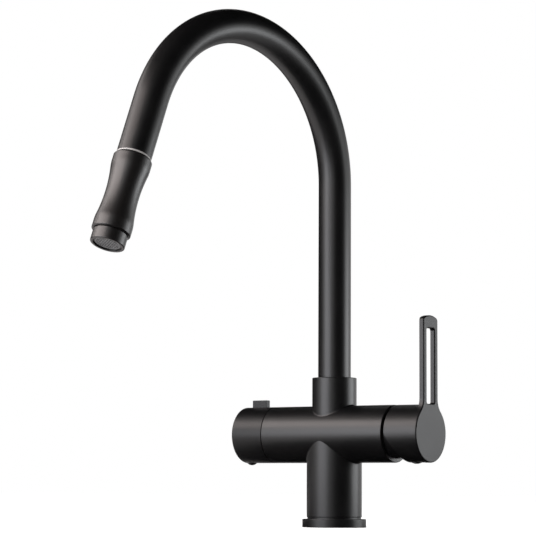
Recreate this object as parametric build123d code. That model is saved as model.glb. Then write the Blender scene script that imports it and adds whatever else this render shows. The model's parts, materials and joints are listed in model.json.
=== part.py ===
from build123d import *

import math
import os

# A kitchen mixer with a high swivelling spout and a pull-out spray. A mixing cartridge and its lever
# sit at the right end of the cross body, and a quarter-turn appliance valve sits at its left end.
#
# Frame: the origin is the centre of the flange's underside, on the deck. +Z is up, +X runs along the
# cross body towards the lever and -Y faces the sink. Lengths are millimetres and angles are degrees.

# Spout tube
TUBE_D = 28.0
TUBE_WALL = 1.2
RISER_TOP_Z = 293.0
BEND_R = 119.0
BEND_ANGLE = 158.6
MOUTH_RUN = 50.5
REST_TURN = -5.7
SWIVEL_EACH_WAY = 60.0

# Body casting
CROSS_D = 48.5
CROSS_WALL = 3.5
CROSS_Z = 78.8
BODY_LEFT = 59.8
BODY_RIGHT = 61.7
COLUMN_FOOT_Z = 8.6
# The column's share of the cross body's diameter.
COLUMN_SHARE = 94 / 97
NECK_INSET = 0.6
FOOT_INSET = 1.1
COLLAR_WALL = 3.0
COLLAR_H = 23.95
THROAT_D = 24.0
BODY_EDGE = 0.6
RIM_EDGE = 0.9
CAST_FILLET = 1.2

# Flange and gasket
FLANGE_W = 4.8
FLANGE_H = 7.1
FLANGE_EDGE = 0.6
GASKET_W = 2.2
GASKET_T = 1.6
GASKET_INSET = 1.4

# Base block with its ports, studs and hose passage
BASE_BLOCK_H = 14.0
PASSAGE_D = 20.0
PORT_ANGLE = 45.0
PORT_D = 10.0
PORT_DEPTH = 9.0
WATERWAY_D = 5.6
STUD_D = 8.0
STUD_DEPTH = 11.0
PIPE_D = 7.0
PIPE_WALL = 0.8
PIPE_SOCKET = 3.0
PIPE_BEND_R = 9.0
PIPE_END_L = 2.0
DRILL_D = 3.4
GUIDE_WALL = 0.9
GUIDE_LIP = 1.2

# Clearances
SEAT_GAP = 0.05
RUN_GAP = 0.06
FREE_GAP = 0.3
FACE_GAP = 0.1
LAPPED_GAP = 0.02

# Mixing cartridge, from its seat outwards
CARTRIDGE_D = 35.0
CARTRIDGE_DEPTH = 25.7
CARTRIDGE_WALL = 2.2
SEAT_WALL = 8.0
SEAL_T = 1.3
SEAL_SECTION = 1.4
SEAL_POCKET_D = 10.6
BASE_GAP = 0.4
CARTRIDGE_BASE_T = 4.6
DISC_T = 4.0
MOVING_DISC_D = 26.0
CARRIER_T = 4.2
CARRIER_FLOOR = 0.8
DISC_PORT_D = 6.0
MIX_POCKET_D = 14.4
MIX_POCKET_T = 2.4
MIX_POCKET_DROP = 5.0
STEM_ARM = 9.0
STEM_ARM_D = 4.0
BALL_D = 5.6
BALL_DEPTH = 0.2
ROTOR_GAP = 0.4
ROTOR_FLANGE_T = 3.0
ROTOR_NECK_D = 24.8
ROTOR_SLOT = 16.0
ROTOR_SLOT_GAP = 0.15
HOUSING_SHOULDER = 1.0
HOUSING_RISE = 4.5
PIN_D = 4.0
PIN_LEN = 20.8
STEM_SIDE = 8.0
STEM_LEN = 24.0
LEVER_TILT = 25.0
# The mixing ports as (y, height above the cross axis).
MIX_PORTS = {"hot": (8.5, 2.0), "cold": (-8.5, 2.0), "mixed": (0.0, -9.5)}

# Cartridge nut and its domed cover
NUT_D = 40.0
NUT_THREAD_L = 9.0
NUT_HEAD_D = 38.8
NUT_FLANGE_T = 4.0
NUT_HOLE_D = 27.0
DOME_R = 20.8
DOME_T = 0.8
DOME_REACH = 11.0
DOME_SKIRT_L = 1.6

# Lever handle
HANDLE_GAP = 2.6
HUB_D = 48.2
HUB_LEN = 31.7
HUB_WALL_GAP = 0.6
HUB_CUT_MARGIN = 2.0
HUB_ROOF_T = 8.0
HUB_BOSS_D = 16.0
HUB_BOSS_LEN = 13.0
PLATE_T = 4.5
DISC_FACE_D = 48.6
LEVER_W = 22.6
LEVER_REACH = 98.2
LEVER_TOP_R = 24.0
LEVER_CORNER_R = 3.0
LEVER_BLEND_R = 15.0
SLOT_W = 12.9
SLOT_FROM = 24.4
SLOT_TO = 87.5
SLOT_CORNER_R = 2.2
PLATE_EDGE = 1.0
PLUG_D = 8.4
PLUG_DOME = 1.1
PLUG_SINK = 2.0
PLUG_FROM_FACE = 14.0
GRUB_D = 5.0
GRUB_LEN = 4.5
GRUB_HEX = 2.5

# Appliance valve and its knob
KNOB_LEN = 31.0
KNOB_GAP = 0.5
KNOB_EDGE = 1.3
KNOB_WALL = 2.6
KNOB_END_T = 3.0
TAB_LEN = 14.7
TAB_W = 5.6
TAB_H = 6.1
TAB_EDGE = 0.5
TAB_FROM_END = 7.4
TAB_SUNK = 3.0
KNOB_PLUG_FROM_END = 5.2
KNOB_PLUG_DOME = 1.8
KNOB_BOSS_GAP = 3.0
LEFT_WALL = 6.0
LEFT_WALL_X = 40.0
FEED_ANGLE = 148.2
# The valve's outlet as (y, height above the cross axis).
OUTLET_PLACE = (8.5, -8.0)
VALVE_BORE_D = 28.0
VALVE_NOSE_D = 18.4
VALVE_NOSE_LEN = 9.5
VALVE_NOSE_GAP = 0.5
VALVE_HEX = 22.0
VALVE_HEX_L = 4.0
VALVE_THREAD_L = 7.0
VALVE_NECK_D = 16.0
VALVE_NECK_END = 72.0
VALVE_BORE_IN_D = 16.6
VALVE_DISC_D = 16.2
VALVE_DISC_T = 3.0
VALVE_PORT_D = 4.2
VALVE_PORT_R = 4.6
VALVE_RING_T = 2.2
VALVE_RING_BORE_D = 7.0
VALVE_WINDOW_L = 2.4
VALVE_WINDOW_W = 5.0
VALVE_CHAMBER_L = 3.2
SPINDLE_D = 11.0
SPINDLE_HEAD_L = 2.6
SPINDLE_TIP_D = 8.0
RING_SECTION = 1.2
RING_SPACING = 6.0
RING_PLAY = 0.1
CLIP_T = 0.8
CLIP_D = 14.4
CLIP_GROOVE_D = 9.0
CLIP_MOUTH = 2.4

# Spout bearing in the collar
BUSH_WALL = 2.0
INSERT_GAP = 0.9
BUSH_FLANGE_T = 1.0
LOWER_BUSH_H = 6.0
INSERT_SEAT_UP = 14.45
SPIGOT_LEN = 12.0
SPIGOT_WALL = 2.0
STOP_UP = 8.75
STOP_SLOT_H = 3.8
STOP_SLOT_DEPTH = 1.8
STOP_SCREW_D = 4.0
STOP_SCREW_HEX = 2.0
STOP_SCREW_SUNK = 0.4
STOP_DOG_D = 3.0
FRICTION_UP = 12.55
FRICTION_SECTION = 2.0

# Docking sleeve at the spout's mouth
SLEEVE_LEN = 22.0
SLEEVE_WALL = 1.05
MOUTH_RING_T = 1.3

# Spray head, along its axis from the mouth
SPRAY_GAP = 0.2
SPRAY_SHOULDER_STEP = 0.2
SPRAY_SHOULDER_L = 1.5
SPRAY_STEP = 1.5
SPRAY_WAIST_WALL = 1.37
SPRAY_WAIST_S = 34.4
SPRAY_WAIST_HALF = 23.0
SPRAY_WAIST_BLEND = 30.0
SPRAY_LIP_L = 0.8
SPRAY_END_S = 67.0
SPRAY_LIP_INSET = 0.8
CORE_WATERWAY_D = 10.0
CORE_NECK_GAP = 0.4
CORE_NECK_L = 7.0
CORE_SHOULDER = 0.7
CORE_STEM_D = 16.0
CORE_HEAD_S = 12.0
CORE_LEDGE = 1.2
CORE_CUP_S = 52.0
CORE_CUP_WALL = 0.95
CORE_INSET = 0.6
INLET_THREAD_D = 14.9
AERATOR_INSET = 1.75
AERATOR_END_S = 77.1
AERATOR_THREAD_L = 7.5
AERATOR_WALL = 1.45
AERATOR_RIM = 2.35
AERATOR_MOUTH_L = 2.6
AERATOR_EDGE = 0.7
JET_PLATE_T = 2.0
JET_COUNT = 8
JET_D = 1.6
JET_FROM_RIM = 3.4
JET_WALL = 1.5
MESH_T = 0.8
MESH_INSET = 1.1
MESH_CELL = 3.0
MESH_HOLE_D = 2.2
SPRAY_SEAL_T = 2.0

# Pull-out hose and its end fittings
HOSE_D = 13.0
HOSE_BORE_D = 8.0
HOSE_FROM_MOUTH = 24.4
NUT_ACROSS = 17.4
NUT_ROUND_D = 19.1
HOSE_NUT_LEN = 12.0
HOSE_NUT_GAP = 0.5
HOSE_NUT_LIP = 1.2
WASHER_T = 1.0
NIPPLE_BORE_D = 6.0
NIPPLE_NECK_D = 10.0
NIPPLE_FLANGE_D = 13.6
NIPPLE_FLANGE_T = 2.0
NIPPLE_TAIL_L = 20.0
FERRULE_D = 16.0
FERRULE_L = 19.0
FERRULE_CAP_T = 1.0
HOSE_END_GAP = 0.4

# Lower end of the hose, with its check valve
INLET_NUT_D = 17.4
INLET_NUT_ACROSS = 16.2
INLET_NUT_Z = 1.0
INLET_NUT_H = 17.0
INLET_THREAD_BORE_D = 14.0
INLET_THREAD_DEPTH = 5.0
CHECK_BODY_D = 11.6
CHECK_BORE_D = 9.4
CHECK_SEAT_D = 6.0
CHECK_SEAT_T = 1.6
CHECK_LIFT = 2.0
CHECK_ROOF_T = 1.0
CHECK_ROOF_BORE_D = 4.6
CHECK_WINDOW_D = 2.0
CHECK_WINDOW_R = 3.5
CHECK_WINDOWS = 4
POPPET_D = 8.0
POPPET_T = 1.6
POPPET_STEM_D = 2.4
SPRING_D = 6.0
SPRING_WIRE_D = 0.6
SPRING_TURNS = 4
LOWER_FERRULE_L = 20.0

# Places worked out from the sizes above
TUBE_R = TUBE_D / 2
TUBE_BORE_R = TUBE_R - TUBE_WALL
COLLAR_BORE_D = TUBE_D + 2 * BUSH_WALL
COLLAR_D = COLLAR_BORE_D + 2 * COLLAR_WALL
SLEEVE_D = 2 * (TUBE_BORE_R - SEAT_GAP)
SLEEVE_BORE_D = SLEEVE_D - 2 * SLEEVE_WALL
CORE_NECK_D = SLEEVE_BORE_D - 2 * CORE_NECK_GAP
SPRAY_D = TUBE_D + 2 * SPRAY_STEP
SPRAY_SHOULDER_D = TUBE_D + 2 * SPRAY_SHOULDER_STEP
SPRAY_BORE_D = CORE_NECK_D + 2 * CORE_SHOULDER
SPRAY_WAIST_D = SPRAY_BORE_D + 2 * SPRAY_WAIST_WALL
SPRAY_LIP_D = SPRAY_D - 2 * SPRAY_LIP_INSET
AERATOR_D = SPRAY_D - 2 * AERATOR_INSET
AERATOR_THREAD_D = SPRAY_BORE_D - 4 * SEAT_GAP - 2 * CORE_CUP_WALL
AERATOR_BORE_D = AERATOR_THREAD_D - 2 * AERATOR_WALL
AERATOR_MOUTH_D = AERATOR_D - 2 * AERATOR_RIM

CROSS_R = CROSS_D / 2
CROSS_BORE_R = CROSS_R - CROSS_WALL
COLLAR_SEAT_Z = CROSS_Z + CROSS_R
COLLAR_TOP_Z = COLLAR_SEAT_Z + COLLAR_H
INSERT_SEAT_Z = COLLAR_SEAT_Z + INSERT_SEAT_UP
STOP_Z = COLLAR_SEAT_Z + STOP_UP
FRICTION_Z = COLLAR_SEAT_Z + FRICTION_UP
COLUMN_D = CROSS_D * COLUMN_SHARE
NECK_D = COLUMN_D - 2 * NECK_INSET
FOOT_D = COLUMN_D - 2 * FOOT_INSET
FLANGE_D = FOOT_D + 2 * FLANGE_W
PORT_CIRCLE_R = (FOOT_D + PASSAGE_D) / 4
COLUMN_BORE_D = 2 * (PORT_CIRCLE_R + PIPE_D / 2 + FREE_GAP)
FEED_R = CROSS_BORE_R - PIPE_D / 2 - FREE_GAP
FEED_PLACE = (
    FEED_R * math.cos(math.radians(FEED_ANGLE)),
    FEED_R * math.sin(math.radians(FEED_ANGLE)),
)
PORT_SIDE_X = PORT_CIRCLE_R * math.cos(math.radians(PORT_ANGLE))
PORT_SIDE_Y = PORT_CIRCLE_R * math.sin(math.radians(PORT_ANGLE))

SEAT_X = BODY_RIGHT - CARTRIDGE_DEPTH
BASE_X = SEAT_X + BASE_GAP
FIXED_DISC_X = BASE_X + CARTRIDGE_BASE_T
MOVING_DISC_X = FIXED_DISC_X + DISC_T + LAPPED_GAP
CARRIER_X = MOVING_DISC_X + DISC_T
CARRIER_TOP_X = CARRIER_X + CARRIER_T
BALL_X = CARRIER_TOP_X - BALL_DEPTH
PIVOT_X = BALL_X + STEM_ARM
ROTOR_X = CARRIER_TOP_X + ROTOR_GAP
HOUSING_TOP_X = PIVOT_X + HOUSING_RISE
HOUSING_SHOULDER_X = PIVOT_X + HOUSING_SHOULDER
DISC_REST_DROP = STEM_ARM * math.sin(math.radians(LEVER_TILT)) / 2

HUB_X = BODY_RIGHT + HANDLE_GAP
FACE_X = HUB_X + HUB_LEN
PLATE_X = FACE_X - PLATE_T
HUB_ROOF_X = FACE_X - HUB_ROOF_T
PLUG_X = FACE_X - PLUG_FROM_FACE
STEM_END_X = PIVOT_X + STEM_LEN

KNOB_X = -(BODY_LEFT + KNOB_GAP)
KNOB_END_X = KNOB_X - KNOB_LEN
KNOB_PLUG_X = KNOB_END_X + KNOB_PLUG_FROM_END
SPINDLE_END_X = KNOB_END_X + KNOB_END_T + 2 * FREE_GAP

MOUTH_ANGLE = math.radians(BEND_ANGLE)
BEND_END = Vector(
    0,
    -BEND_R * (1 - math.cos(MOUTH_ANGLE)),
    RISER_TOP_Z + BEND_R * math.sin(MOUTH_ANGLE),
)
MOUTH_DIR = Vector(0, -math.sin(MOUTH_ANGLE), math.cos(MOUTH_ANGLE))
MOUTH = BEND_END + MOUTH_DIR * MOUTH_RUN

nodes = {}


# Drawing helpers
def bar(diameter, start, end):
    """A round bar on the Z axis, from start to end."""
    return Pos(0, 0, (start + end) / 2) * Cylinder(diameter / 2, end - start)


def tube(outer, inner, start, end):
    """A round tube on the Z axis, from start to end."""
    return bar(outer, start, end) - bar(inner, start - 1, end + 1)


def turned(points, rounds=()):
    """A turned piece: its outline is points of (radius, height), some with rounded corners."""
    face = make_face(Polyline(*points, close=True))
    for corner, radius in rounds:
        face = fillet(face.vertices().sort_by_distance(corner)[0], radius)
    return revolve(Plane.XZ * face, Axis.Z)


def hexagon(across, start, end):
    """A hexagonal bar on the Z axis, given its size across the flats."""
    corner_r = across / math.sqrt(3)
    return Pos(0, 0, start) * extrude(RegularPolygon(corner_r, 6), end - start)


def ring_seal(middle_d, section, at):
    """A round-section sealing ring about the Z axis."""
    return Pos(0, 0, at) * Torus(middle_d / 2, section / 2)


def on_cross(piece):
    """Lay a piece drawn along Z on the cross axis: its Z becomes X and its -X becomes up."""
    return Pos(0, 0, CROSS_Z) * Rot(0, 90, 0) * piece


def turned_spout(piece):
    """Turn a spout piece from square to the sink to the angle it has at rest."""
    return Rot(0, 0, REST_TURN) * piece


def on_mouth(piece):
    """Put a piece drawn along Z on the spout's mouth: its Z is the distance beyond the mouth."""
    plane = Plane(origin=MOUTH, x_dir=(1, 0, 0), z_dir=MOUTH_DIR)
    return turned_spout(plane.location * piece)


def spout_route(start_z, run_end):
    """The spout's centre line: the riser from start_z, the bend and run_end of its straight end."""
    top = Vector(0, 0, RISER_TOP_Z)
    half = MOUTH_ANGLE / 2
    crown = Vector(0, -BEND_R * (1 - math.cos(half)), RISER_TOP_Z + BEND_R * math.sin(half))
    riser = Line((0, 0, start_z), top)
    bend = ThreePointArc(top, crown, BEND_END)
    run = Line(BEND_END, BEND_END + MOUTH_DIR * run_end)
    return Wire([riser.edge(), bend.edge(), run.edge()])


def swept(route, diameter, bore):
    """A round tube along a route that starts upwards."""
    start = Plane(origin=route @ 0, z_dir=(0, 0, 1))
    outside = sweep(start * Circle(diameter / 2), path=route)
    inside = sweep(start * Circle(bore / 2), path=route)
    return outside - inside


def grub_screw(diameter, length, hexagon_size, point_d=None, point_l=0.0):
    """A grub screw along Z with its socket at the top, and a dog point below zero if given."""
    screw = bar(diameter, 0, length) - hexagon(hexagon_size, length * 0.5, length + 1)
    if point_d:
        screw += bar(point_d, -point_l, 0.2)
    return screw


def domed_plug(diameter, sink, dome):
    """A push-in plug with a domed head, its sunk part below zero."""
    half = diameter / 2
    dome_r = (half**2 + dome**2) / (2 * dome)
    cap = Pos(0, 0, dome - dome_r) * Sphere(dome_r) & bar(diameter, -0.01, dome + 1)
    return bar(diameter, -sink, 0) + cap


# Flange and gasket
def make_flange():
    """The loose flange round the column's foot, with a groove for the gasket in its underside."""
    outer = FLANGE_D / 2
    inner = FOOT_D / 2 + SEAT_GAP
    body = turned(
        [(inner, 0), (outer, 0), (outer, FLANGE_H), (inner, FLANGE_H)],
        [((outer, FLANGE_H), FLANGE_EDGE), ((outer, 0), FLANGE_EDGE / 2)],
    )
    groove_out = FLANGE_D - 2 * GASKET_INSET
    return body - tube(groove_out, groove_out - 2 * GASKET_W, -1, GASKET_T)


def make_gasket():
    """The rubber gasket in the flange's groove, flush with the underside."""
    outer = FLANGE_D - 2 * GASKET_INSET
    return tube(outer - 2 * SEAT_GAP, outer - 2 * GASKET_W + 2 * SEAT_GAP, 0, GASKET_T)


# Body casting
def port_places():
    """Where the base block's ports and pipes stand, as name to (x, y)."""
    return {
        "hot": (PORT_SIDE_X, PORT_SIDE_Y),
        "cold": (PORT_SIDE_X, -PORT_SIDE_Y),
        "mixed": (PORT_CIRCLE_R, 0),
        "appliance": (-PORT_SIDE_X, PORT_SIDE_Y),
    }


def make_body():
    """The body casting: column, cross body and collar, with every bore and seat cut in it."""
    column_r = COLUMN_D / 2
    column = turned(
        [
            (0, 0),
            (FOOT_D / 2, 0),
            (FOOT_D / 2, FLANGE_H),
            (NECK_D / 2, FLANGE_H),
            (NECK_D / 2, COLUMN_FOOT_Z),
            (column_r, COLUMN_FOOT_Z),
            (column_r, CROSS_Z),
            (0, CROSS_Z),
        ],
        [((column_r, COLUMN_FOOT_Z), BODY_EDGE)],
    )
    collar = turned(
        [(0, CROSS_Z), (COLLAR_D / 2, CROSS_Z), (COLLAR_D / 2, COLLAR_TOP_Z), (0, COLLAR_TOP_Z)],
        [((COLLAR_D / 2, COLLAR_TOP_Z), BODY_EDGE)],
    )
    cross = on_cross(
        turned(
            [(0, -BODY_LEFT), (CROSS_R, -BODY_LEFT), (CROSS_R, BODY_RIGHT), (0, BODY_RIGHT)],
            [((CROSS_R, BODY_RIGHT), RIM_EDGE), ((CROSS_R, -BODY_LEFT), BODY_EDGE / 2)],
        )
    )
    body = column + collar + cross
    saddles = body.edges().filter_by(GeomType.BSPLINE)
    body = fillet(saddles, CAST_FILLET)

    body -= bar(COLUMN_BORE_D, BASE_BLOCK_H, CROSS_Z)
    left_wall_in = -LEFT_WALL_X + LEFT_WALL
    body -= on_cross(bar(2 * CROSS_BORE_R, left_wall_in, SEAT_X - SEAT_WALL))
    body -= bar(THROAT_D, CROSS_Z, COLLAR_TOP_Z)
    body -= bar(COLLAR_BORE_D, COLLAR_SEAT_Z, COLLAR_TOP_Z + 1)
    body -= on_cross(bar(CARTRIDGE_D + 2 * FREE_GAP, SEAT_X, BODY_RIGHT + 1))
    nut_seat = BODY_RIGHT - NUT_THREAD_L - FREE_GAP
    body -= on_cross(bar(NUT_D + 2 * SEAT_GAP, nut_seat, BODY_RIGHT + 1))
    body -= on_cross(bar(VALVE_BORE_D + 2 * SEAT_GAP, -BODY_LEFT - 1, -LEFT_WALL_X))

    socket_d = PIPE_D + 2 * SEAT_GAP
    body -= bar(PASSAGE_D, -1, BASE_BLOCK_H + 1)
    for x, y in port_places().values():
        body -= Pos(x, y, 0) * bar(PORT_D, -1, PORT_DEPTH)
        body -= Pos(x, y, 0) * bar(WATERWAY_D, 0, BASE_BLOCK_H)
        body -= Pos(x, y, 0) * bar(socket_d, BASE_BLOCK_H - PIPE_SOCKET, BASE_BLOCK_H + 1)
    for side in (-1, 1):
        body -= Pos(0, side * PORT_CIRCLE_R, 0) * bar(STUD_D, -1, STUD_DEPTH)

    wall_back = SEAT_X - SEAT_WALL
    feed_y, feed_up = FEED_PLACE
    for y, up in list(MIX_PORTS.values()) + [FEED_PLACE]:
        body -= on_cross(Pos(-up, y, 0) * bar(socket_d, wall_back - 1, wall_back + PIPE_SOCKET))
    for y, up in MIX_PORTS.values():
        body -= on_cross(Pos(-up, y, 0) * bar(WATERWAY_D, wall_back, SEAT_X + 1))
    cold_y, cold_up = MIX_PORTS["cold"]
    body -= cross_drill(wall_back + PIPE_SOCKET, (cold_y, cold_up), (feed_y, feed_up))
    for y, up in (FEED_PLACE, OUTLET_PLACE):
        body -= on_cross(Pos(-up, y, 0) * bar(socket_d, left_wall_in - PIPE_SOCKET, left_wall_in + 1))
    out_y, out_up = OUTLET_PLACE
    body -= on_cross(Pos(-out_up, out_y, 0) * bar(WATERWAY_D, -LEFT_WALL_X - 1, left_wall_in))
    body -= cross_drill(left_wall_in - PIPE_SOCKET, (feed_y, feed_up), (0, 0))
    body -= on_cross(bar(WATERWAY_D, -LEFT_WALL_X - 1, left_wall_in - PIPE_SOCKET + 1))

    body -= stop_screw_place(bar(STOP_SCREW_D + 2 * SEAT_GAP, 0, COLLAR_D))
    return body


def cross_drill(x, start, end):
    """A drilled channel in a wall of the cross body at x, between two (y, up) places."""
    first = Vector(x, start[0], CROSS_Z + start[1])
    last = Vector(x, end[0], CROSS_Z + end[1])
    plane = Plane(origin=first, z_dir=last - first)
    return plane.location * bar(DRILL_D, 0, (last - first).length)


def stop_screw_place(piece):
    """Lay a piece drawn outwards along Z in the back of the collar, at the stop screw."""
    return Pos(0, 0, STOP_Z) * Rot(-90, 0, 0) * piece


# Water pipes
def bent_pipe(foot, port, wall_x):
    """A pipe from the base block up to a port in a wall of the cross body."""
    side = 1 if wall_x > 0 else -1
    foot_x, foot_y = foot
    port_y, port_up = port
    top_z = CROSS_Z + port_up
    points = [
        (foot_x, foot_y, BASE_BLOCK_H - PIPE_SOCKET),
        (foot_x, foot_y, top_z),
        (wall_x - side * PIPE_END_L, port_y, top_z),
        (wall_x + side * PIPE_SOCKET, port_y, top_z),
    ]
    if foot_y == port_y:
        points.pop(2)
    route = FilletPolyline(*points, radius=PIPE_BEND_R).wire()
    return swept(route, PIPE_D, PIPE_D - 2 * PIPE_WALL)


def make_pipes():
    """The copper pipes between the base block, the cartridge's seat and the valve's seat."""
    places = port_places()
    wall_back = SEAT_X - SEAT_WALL
    left_wall_in = -LEFT_WALL_X + LEFT_WALL
    for name in ("hot", "cold", "mixed"):
        nodes[name + "_water_pipe"] = bent_pipe(places[name], MIX_PORTS[name], wall_back)
    nodes["appliance_outlet_pipe"] = bent_pipe(places["appliance"], OUTLET_PLACE, left_wall_in)
    feed_y, feed_up = FEED_PLACE
    start = left_wall_in - PIPE_SOCKET
    end = wall_back + PIPE_SOCKET
    feed = tube(PIPE_D, PIPE_D - 2 * PIPE_WALL, start, end)
    nodes["appliance_feed_pipe"] = on_cross(Pos(-feed_up, feed_y, 0) * feed)


def make_hose_guide():
    """The plastic sleeve that lines the hose passage, with a lip on top of the base block."""
    outer = PASSAGE_D - 2 * SEAT_GAP
    inner = PASSAGE_D - 2 * GUIDE_WALL - 2 * SEAT_GAP
    return tube(outer, inner, 0, BASE_BLOCK_H) + tube(
        outer + GUIDE_LIP, inner, BASE_BLOCK_H, BASE_BLOCK_H + GUIDE_LIP
    )


# Mixing cartridge
def mix_port_bars(diameter, start, end):
    """Bars at the cartridge's three ports."""
    return [Pos(-up, y, 0) * bar(diameter, start, end) for y, up in MIX_PORTS.values()]


def make_cartridge():
    """The mixing cartridge: seals, base, housing, ceramic discs, carrier, rotor, pin and stem."""
    inside_d = CARTRIDGE_D - 2 * CARTRIDGE_WALL
    seal = ring_seal(DISC_PORT_D + 2 * SEAL_SECTION, SEAL_SECTION, SEAT_X + SEAL_SECTION / 2)
    seals = [on_cross(Pos(-up, y, 0) * seal) for y, up in MIX_PORTS.values()]
    nodes["cartridge_port_seals"] = Compound(seals)

    base = bar(CARTRIDGE_D, BASE_X, FIXED_DISC_X)
    for pocket in mix_port_bars(SEAL_POCKET_D, BASE_X - 1, BASE_X + SEAL_T):
        base -= pocket
    for hole in mix_port_bars(DISC_PORT_D, BASE_X - 1, FIXED_DISC_X + 1):
        base -= hole
    nodes["cartridge_base"] = on_cross(base)

    fixed = bar(inside_d - 2 * SEAT_GAP, FIXED_DISC_X, FIXED_DISC_X + DISC_T)
    for hole in mix_port_bars(DISC_PORT_D, FIXED_DISC_X - 1, FIXED_DISC_X + DISC_T + 1):
        fixed -= hole
    nodes["fixed_ceramic_disc"] = on_cross(fixed)

    # The moving disc rests low, which is closed, and slides up as the lever tilts out.
    disc_centre = Pos(DISC_REST_DROP, 0, 0)
    moving = disc_centre * bar(MOVING_DISC_D, MOVING_DISC_X, CARRIER_X)
    pocket = bar(MIX_POCKET_D, MOVING_DISC_X - 1, MOVING_DISC_X + MIX_POCKET_T)
    moving -= disc_centre * Pos(MIX_POCKET_DROP, 0, 0) * pocket
    nodes["moving_ceramic_disc"] = on_cross(moving)
    carrier = disc_centre * bar(MOVING_DISC_D, CARRIER_X, CARRIER_TOP_X)
    carrier -= bar(BALL_D + 2 * FREE_GAP, CARRIER_X + CARRIER_FLOOR, CARRIER_TOP_X + 1)
    nodes["disc_carrier"] = on_cross(carrier)

    neck_bore = ROTOR_NECK_D + 2 * FREE_GAP
    flange_top = ROTOR_X + ROTOR_FLANGE_T
    housing = turned(
        [
            (inside_d / 2, FIXED_DISC_X),
            (CARTRIDGE_D / 2, FIXED_DISC_X),
            (CARTRIDGE_D / 2, HOUSING_SHOULDER_X),
            (NUT_HOLE_D / 2 - FREE_GAP, HOUSING_SHOULDER_X),
            (NUT_HOLE_D / 2 - FREE_GAP, HOUSING_TOP_X),
            (neck_bore / 2, HOUSING_TOP_X),
            (neck_bore / 2, flange_top + FREE_GAP),
            (inside_d / 2, flange_top + FREE_GAP),
        ]
    )
    nodes["cartridge_housing"] = on_cross(housing)

    rotor = bar(inside_d - 2 * FREE_GAP, ROTOR_X, flange_top)
    rotor += bar(ROTOR_NECK_D, flange_top, HOUSING_TOP_X - 2 * FREE_GAP)
    rotor -= Pos(0, 0, PIVOT_X) * Box(ROTOR_SLOT, STEM_SIDE + 2 * ROTOR_SLOT_GAP, 4 * STEM_ARM)
    across_pivot = Pos(0, 0, PIVOT_X) * Rot(90, 0, 0)
    pin_hole = across_pivot * bar(PIN_D + 2 * LAPPED_GAP, -PIN_LEN / 2, PIN_LEN / 2)
    nodes["cartridge_rotor"] = on_cross(rotor - pin_hole)
    nodes["lever_pin"] = on_cross(across_pivot * bar(PIN_D, -PIN_LEN / 2, PIN_LEN / 2))

    stem = Pos(0, 0, (PIVOT_X + STEM_END_X) / 2) * Box(STEM_SIDE, STEM_SIDE, STEM_END_X - PIVOT_X)
    stem += across_pivot * bar(STEM_SIDE, -STEM_SIDE / 2, STEM_SIDE / 2)
    stem += bar(STEM_ARM_D, BALL_X, PIVOT_X)
    stem += Pos(0, 0, BALL_X) * Sphere(BALL_D / 2)
    stem -= across_pivot * bar(PIN_D + 2 * RUN_GAP, -STEM_SIDE, STEM_SIDE)
    nodes["cartridge_stem"] = on_cross(stem)


def make_nut_and_dome():
    """The threaded nut that holds the cartridge, and the domed cover that hides it in the gap."""
    nut = turned(
        [
            (CARTRIDGE_D / 2 + SEAT_GAP, BODY_RIGHT - NUT_THREAD_L),
            (NUT_D / 2, BODY_RIGHT - NUT_THREAD_L),
            (NUT_D / 2, BODY_RIGHT),
            (NUT_HEAD_D / 2, BODY_RIGHT),
            (NUT_HEAD_D / 2, HOUSING_SHOULDER_X),
            (CARTRIDGE_D / 2, HOUSING_SHOULDER_X + NUT_FLANGE_T),
            (NUT_HOLE_D / 2, HOUSING_SHOULDER_X + NUT_FLANGE_T),
            (NUT_HOLE_D / 2, HOUSING_SHOULDER_X),
            (CARTRIDGE_D / 2 + SEAT_GAP, HOUSING_SHOULDER_X),
        ]
    )
    nodes["cartridge_nut"] = on_cross(nut)

    shell = Sphere(DOME_R) - Sphere(DOME_R - DOME_T)
    start = BODY_RIGHT + FACE_GAP - PIVOT_X
    shell &= bar(2 * DOME_R + 1, start, DOME_REACH)
    skirt = tube(2 * DOME_R, NUT_HEAD_D + 2 * SEAT_GAP, max(start, 0), DOME_SKIRT_L)
    shell += skirt & Sphere(DOME_R - DOME_T / 2)
    nodes["dome_cover"] = on_cross(Pos(0, 0, PIVOT_X) * shell)


# Lever handle
def lever_outline():
    """The lever's face: a round disc, a straight blade, concave blends and a long slot."""
    disc_r = DISC_FACE_D / 2
    half = LEVER_W / 2
    blend_up = math.sqrt((disc_r + LEVER_BLEND_R) ** 2 - (half + LEVER_BLEND_R) ** 2)
    share = disc_r / (disc_r + LEVER_BLEND_R)
    touch = Vector((half + LEVER_BLEND_R) * share, blend_up * share)
    corner_up = LEVER_REACH - LEVER_TOP_R + math.sqrt(LEVER_TOP_R**2 - half**2)
    mid = Vector(half + LEVER_BLEND_R, blend_up) - Vector(
        LEVER_BLEND_R * math.cos(blend_mid_angle(disc_r, half)),
        LEVER_BLEND_R * math.sin(blend_mid_angle(disc_r, half)),
    )
    right = [
        ThreePointArc(touch, mid, (half, blend_up)),
        Line((half, blend_up), (half, corner_up)),
    ]
    top = ThreePointArc((half, corner_up), (0, LEVER_REACH), (-half, corner_up))
    left = [
        Line((-half, corner_up), (-half, blend_up)),
        ThreePointArc((-half, blend_up), (-mid.X, mid.Y), (-touch.X, touch.Y)),
    ]
    round_end = ThreePointArc((-touch.X, touch.Y), (0, -disc_r), touch)
    face = make_face([*right, top, *left, round_end])
    for side in (-1, 1):
        corner = face.vertices().sort_by_distance((side * half, corner_up))[0]
        face = fillet(corner, LEVER_CORNER_R)
    slot = RectangleRounded(SLOT_W, SLOT_TO - SLOT_FROM, SLOT_CORNER_R)
    return face - Pos(0, (SLOT_FROM + SLOT_TO) / 2) * slot


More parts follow.
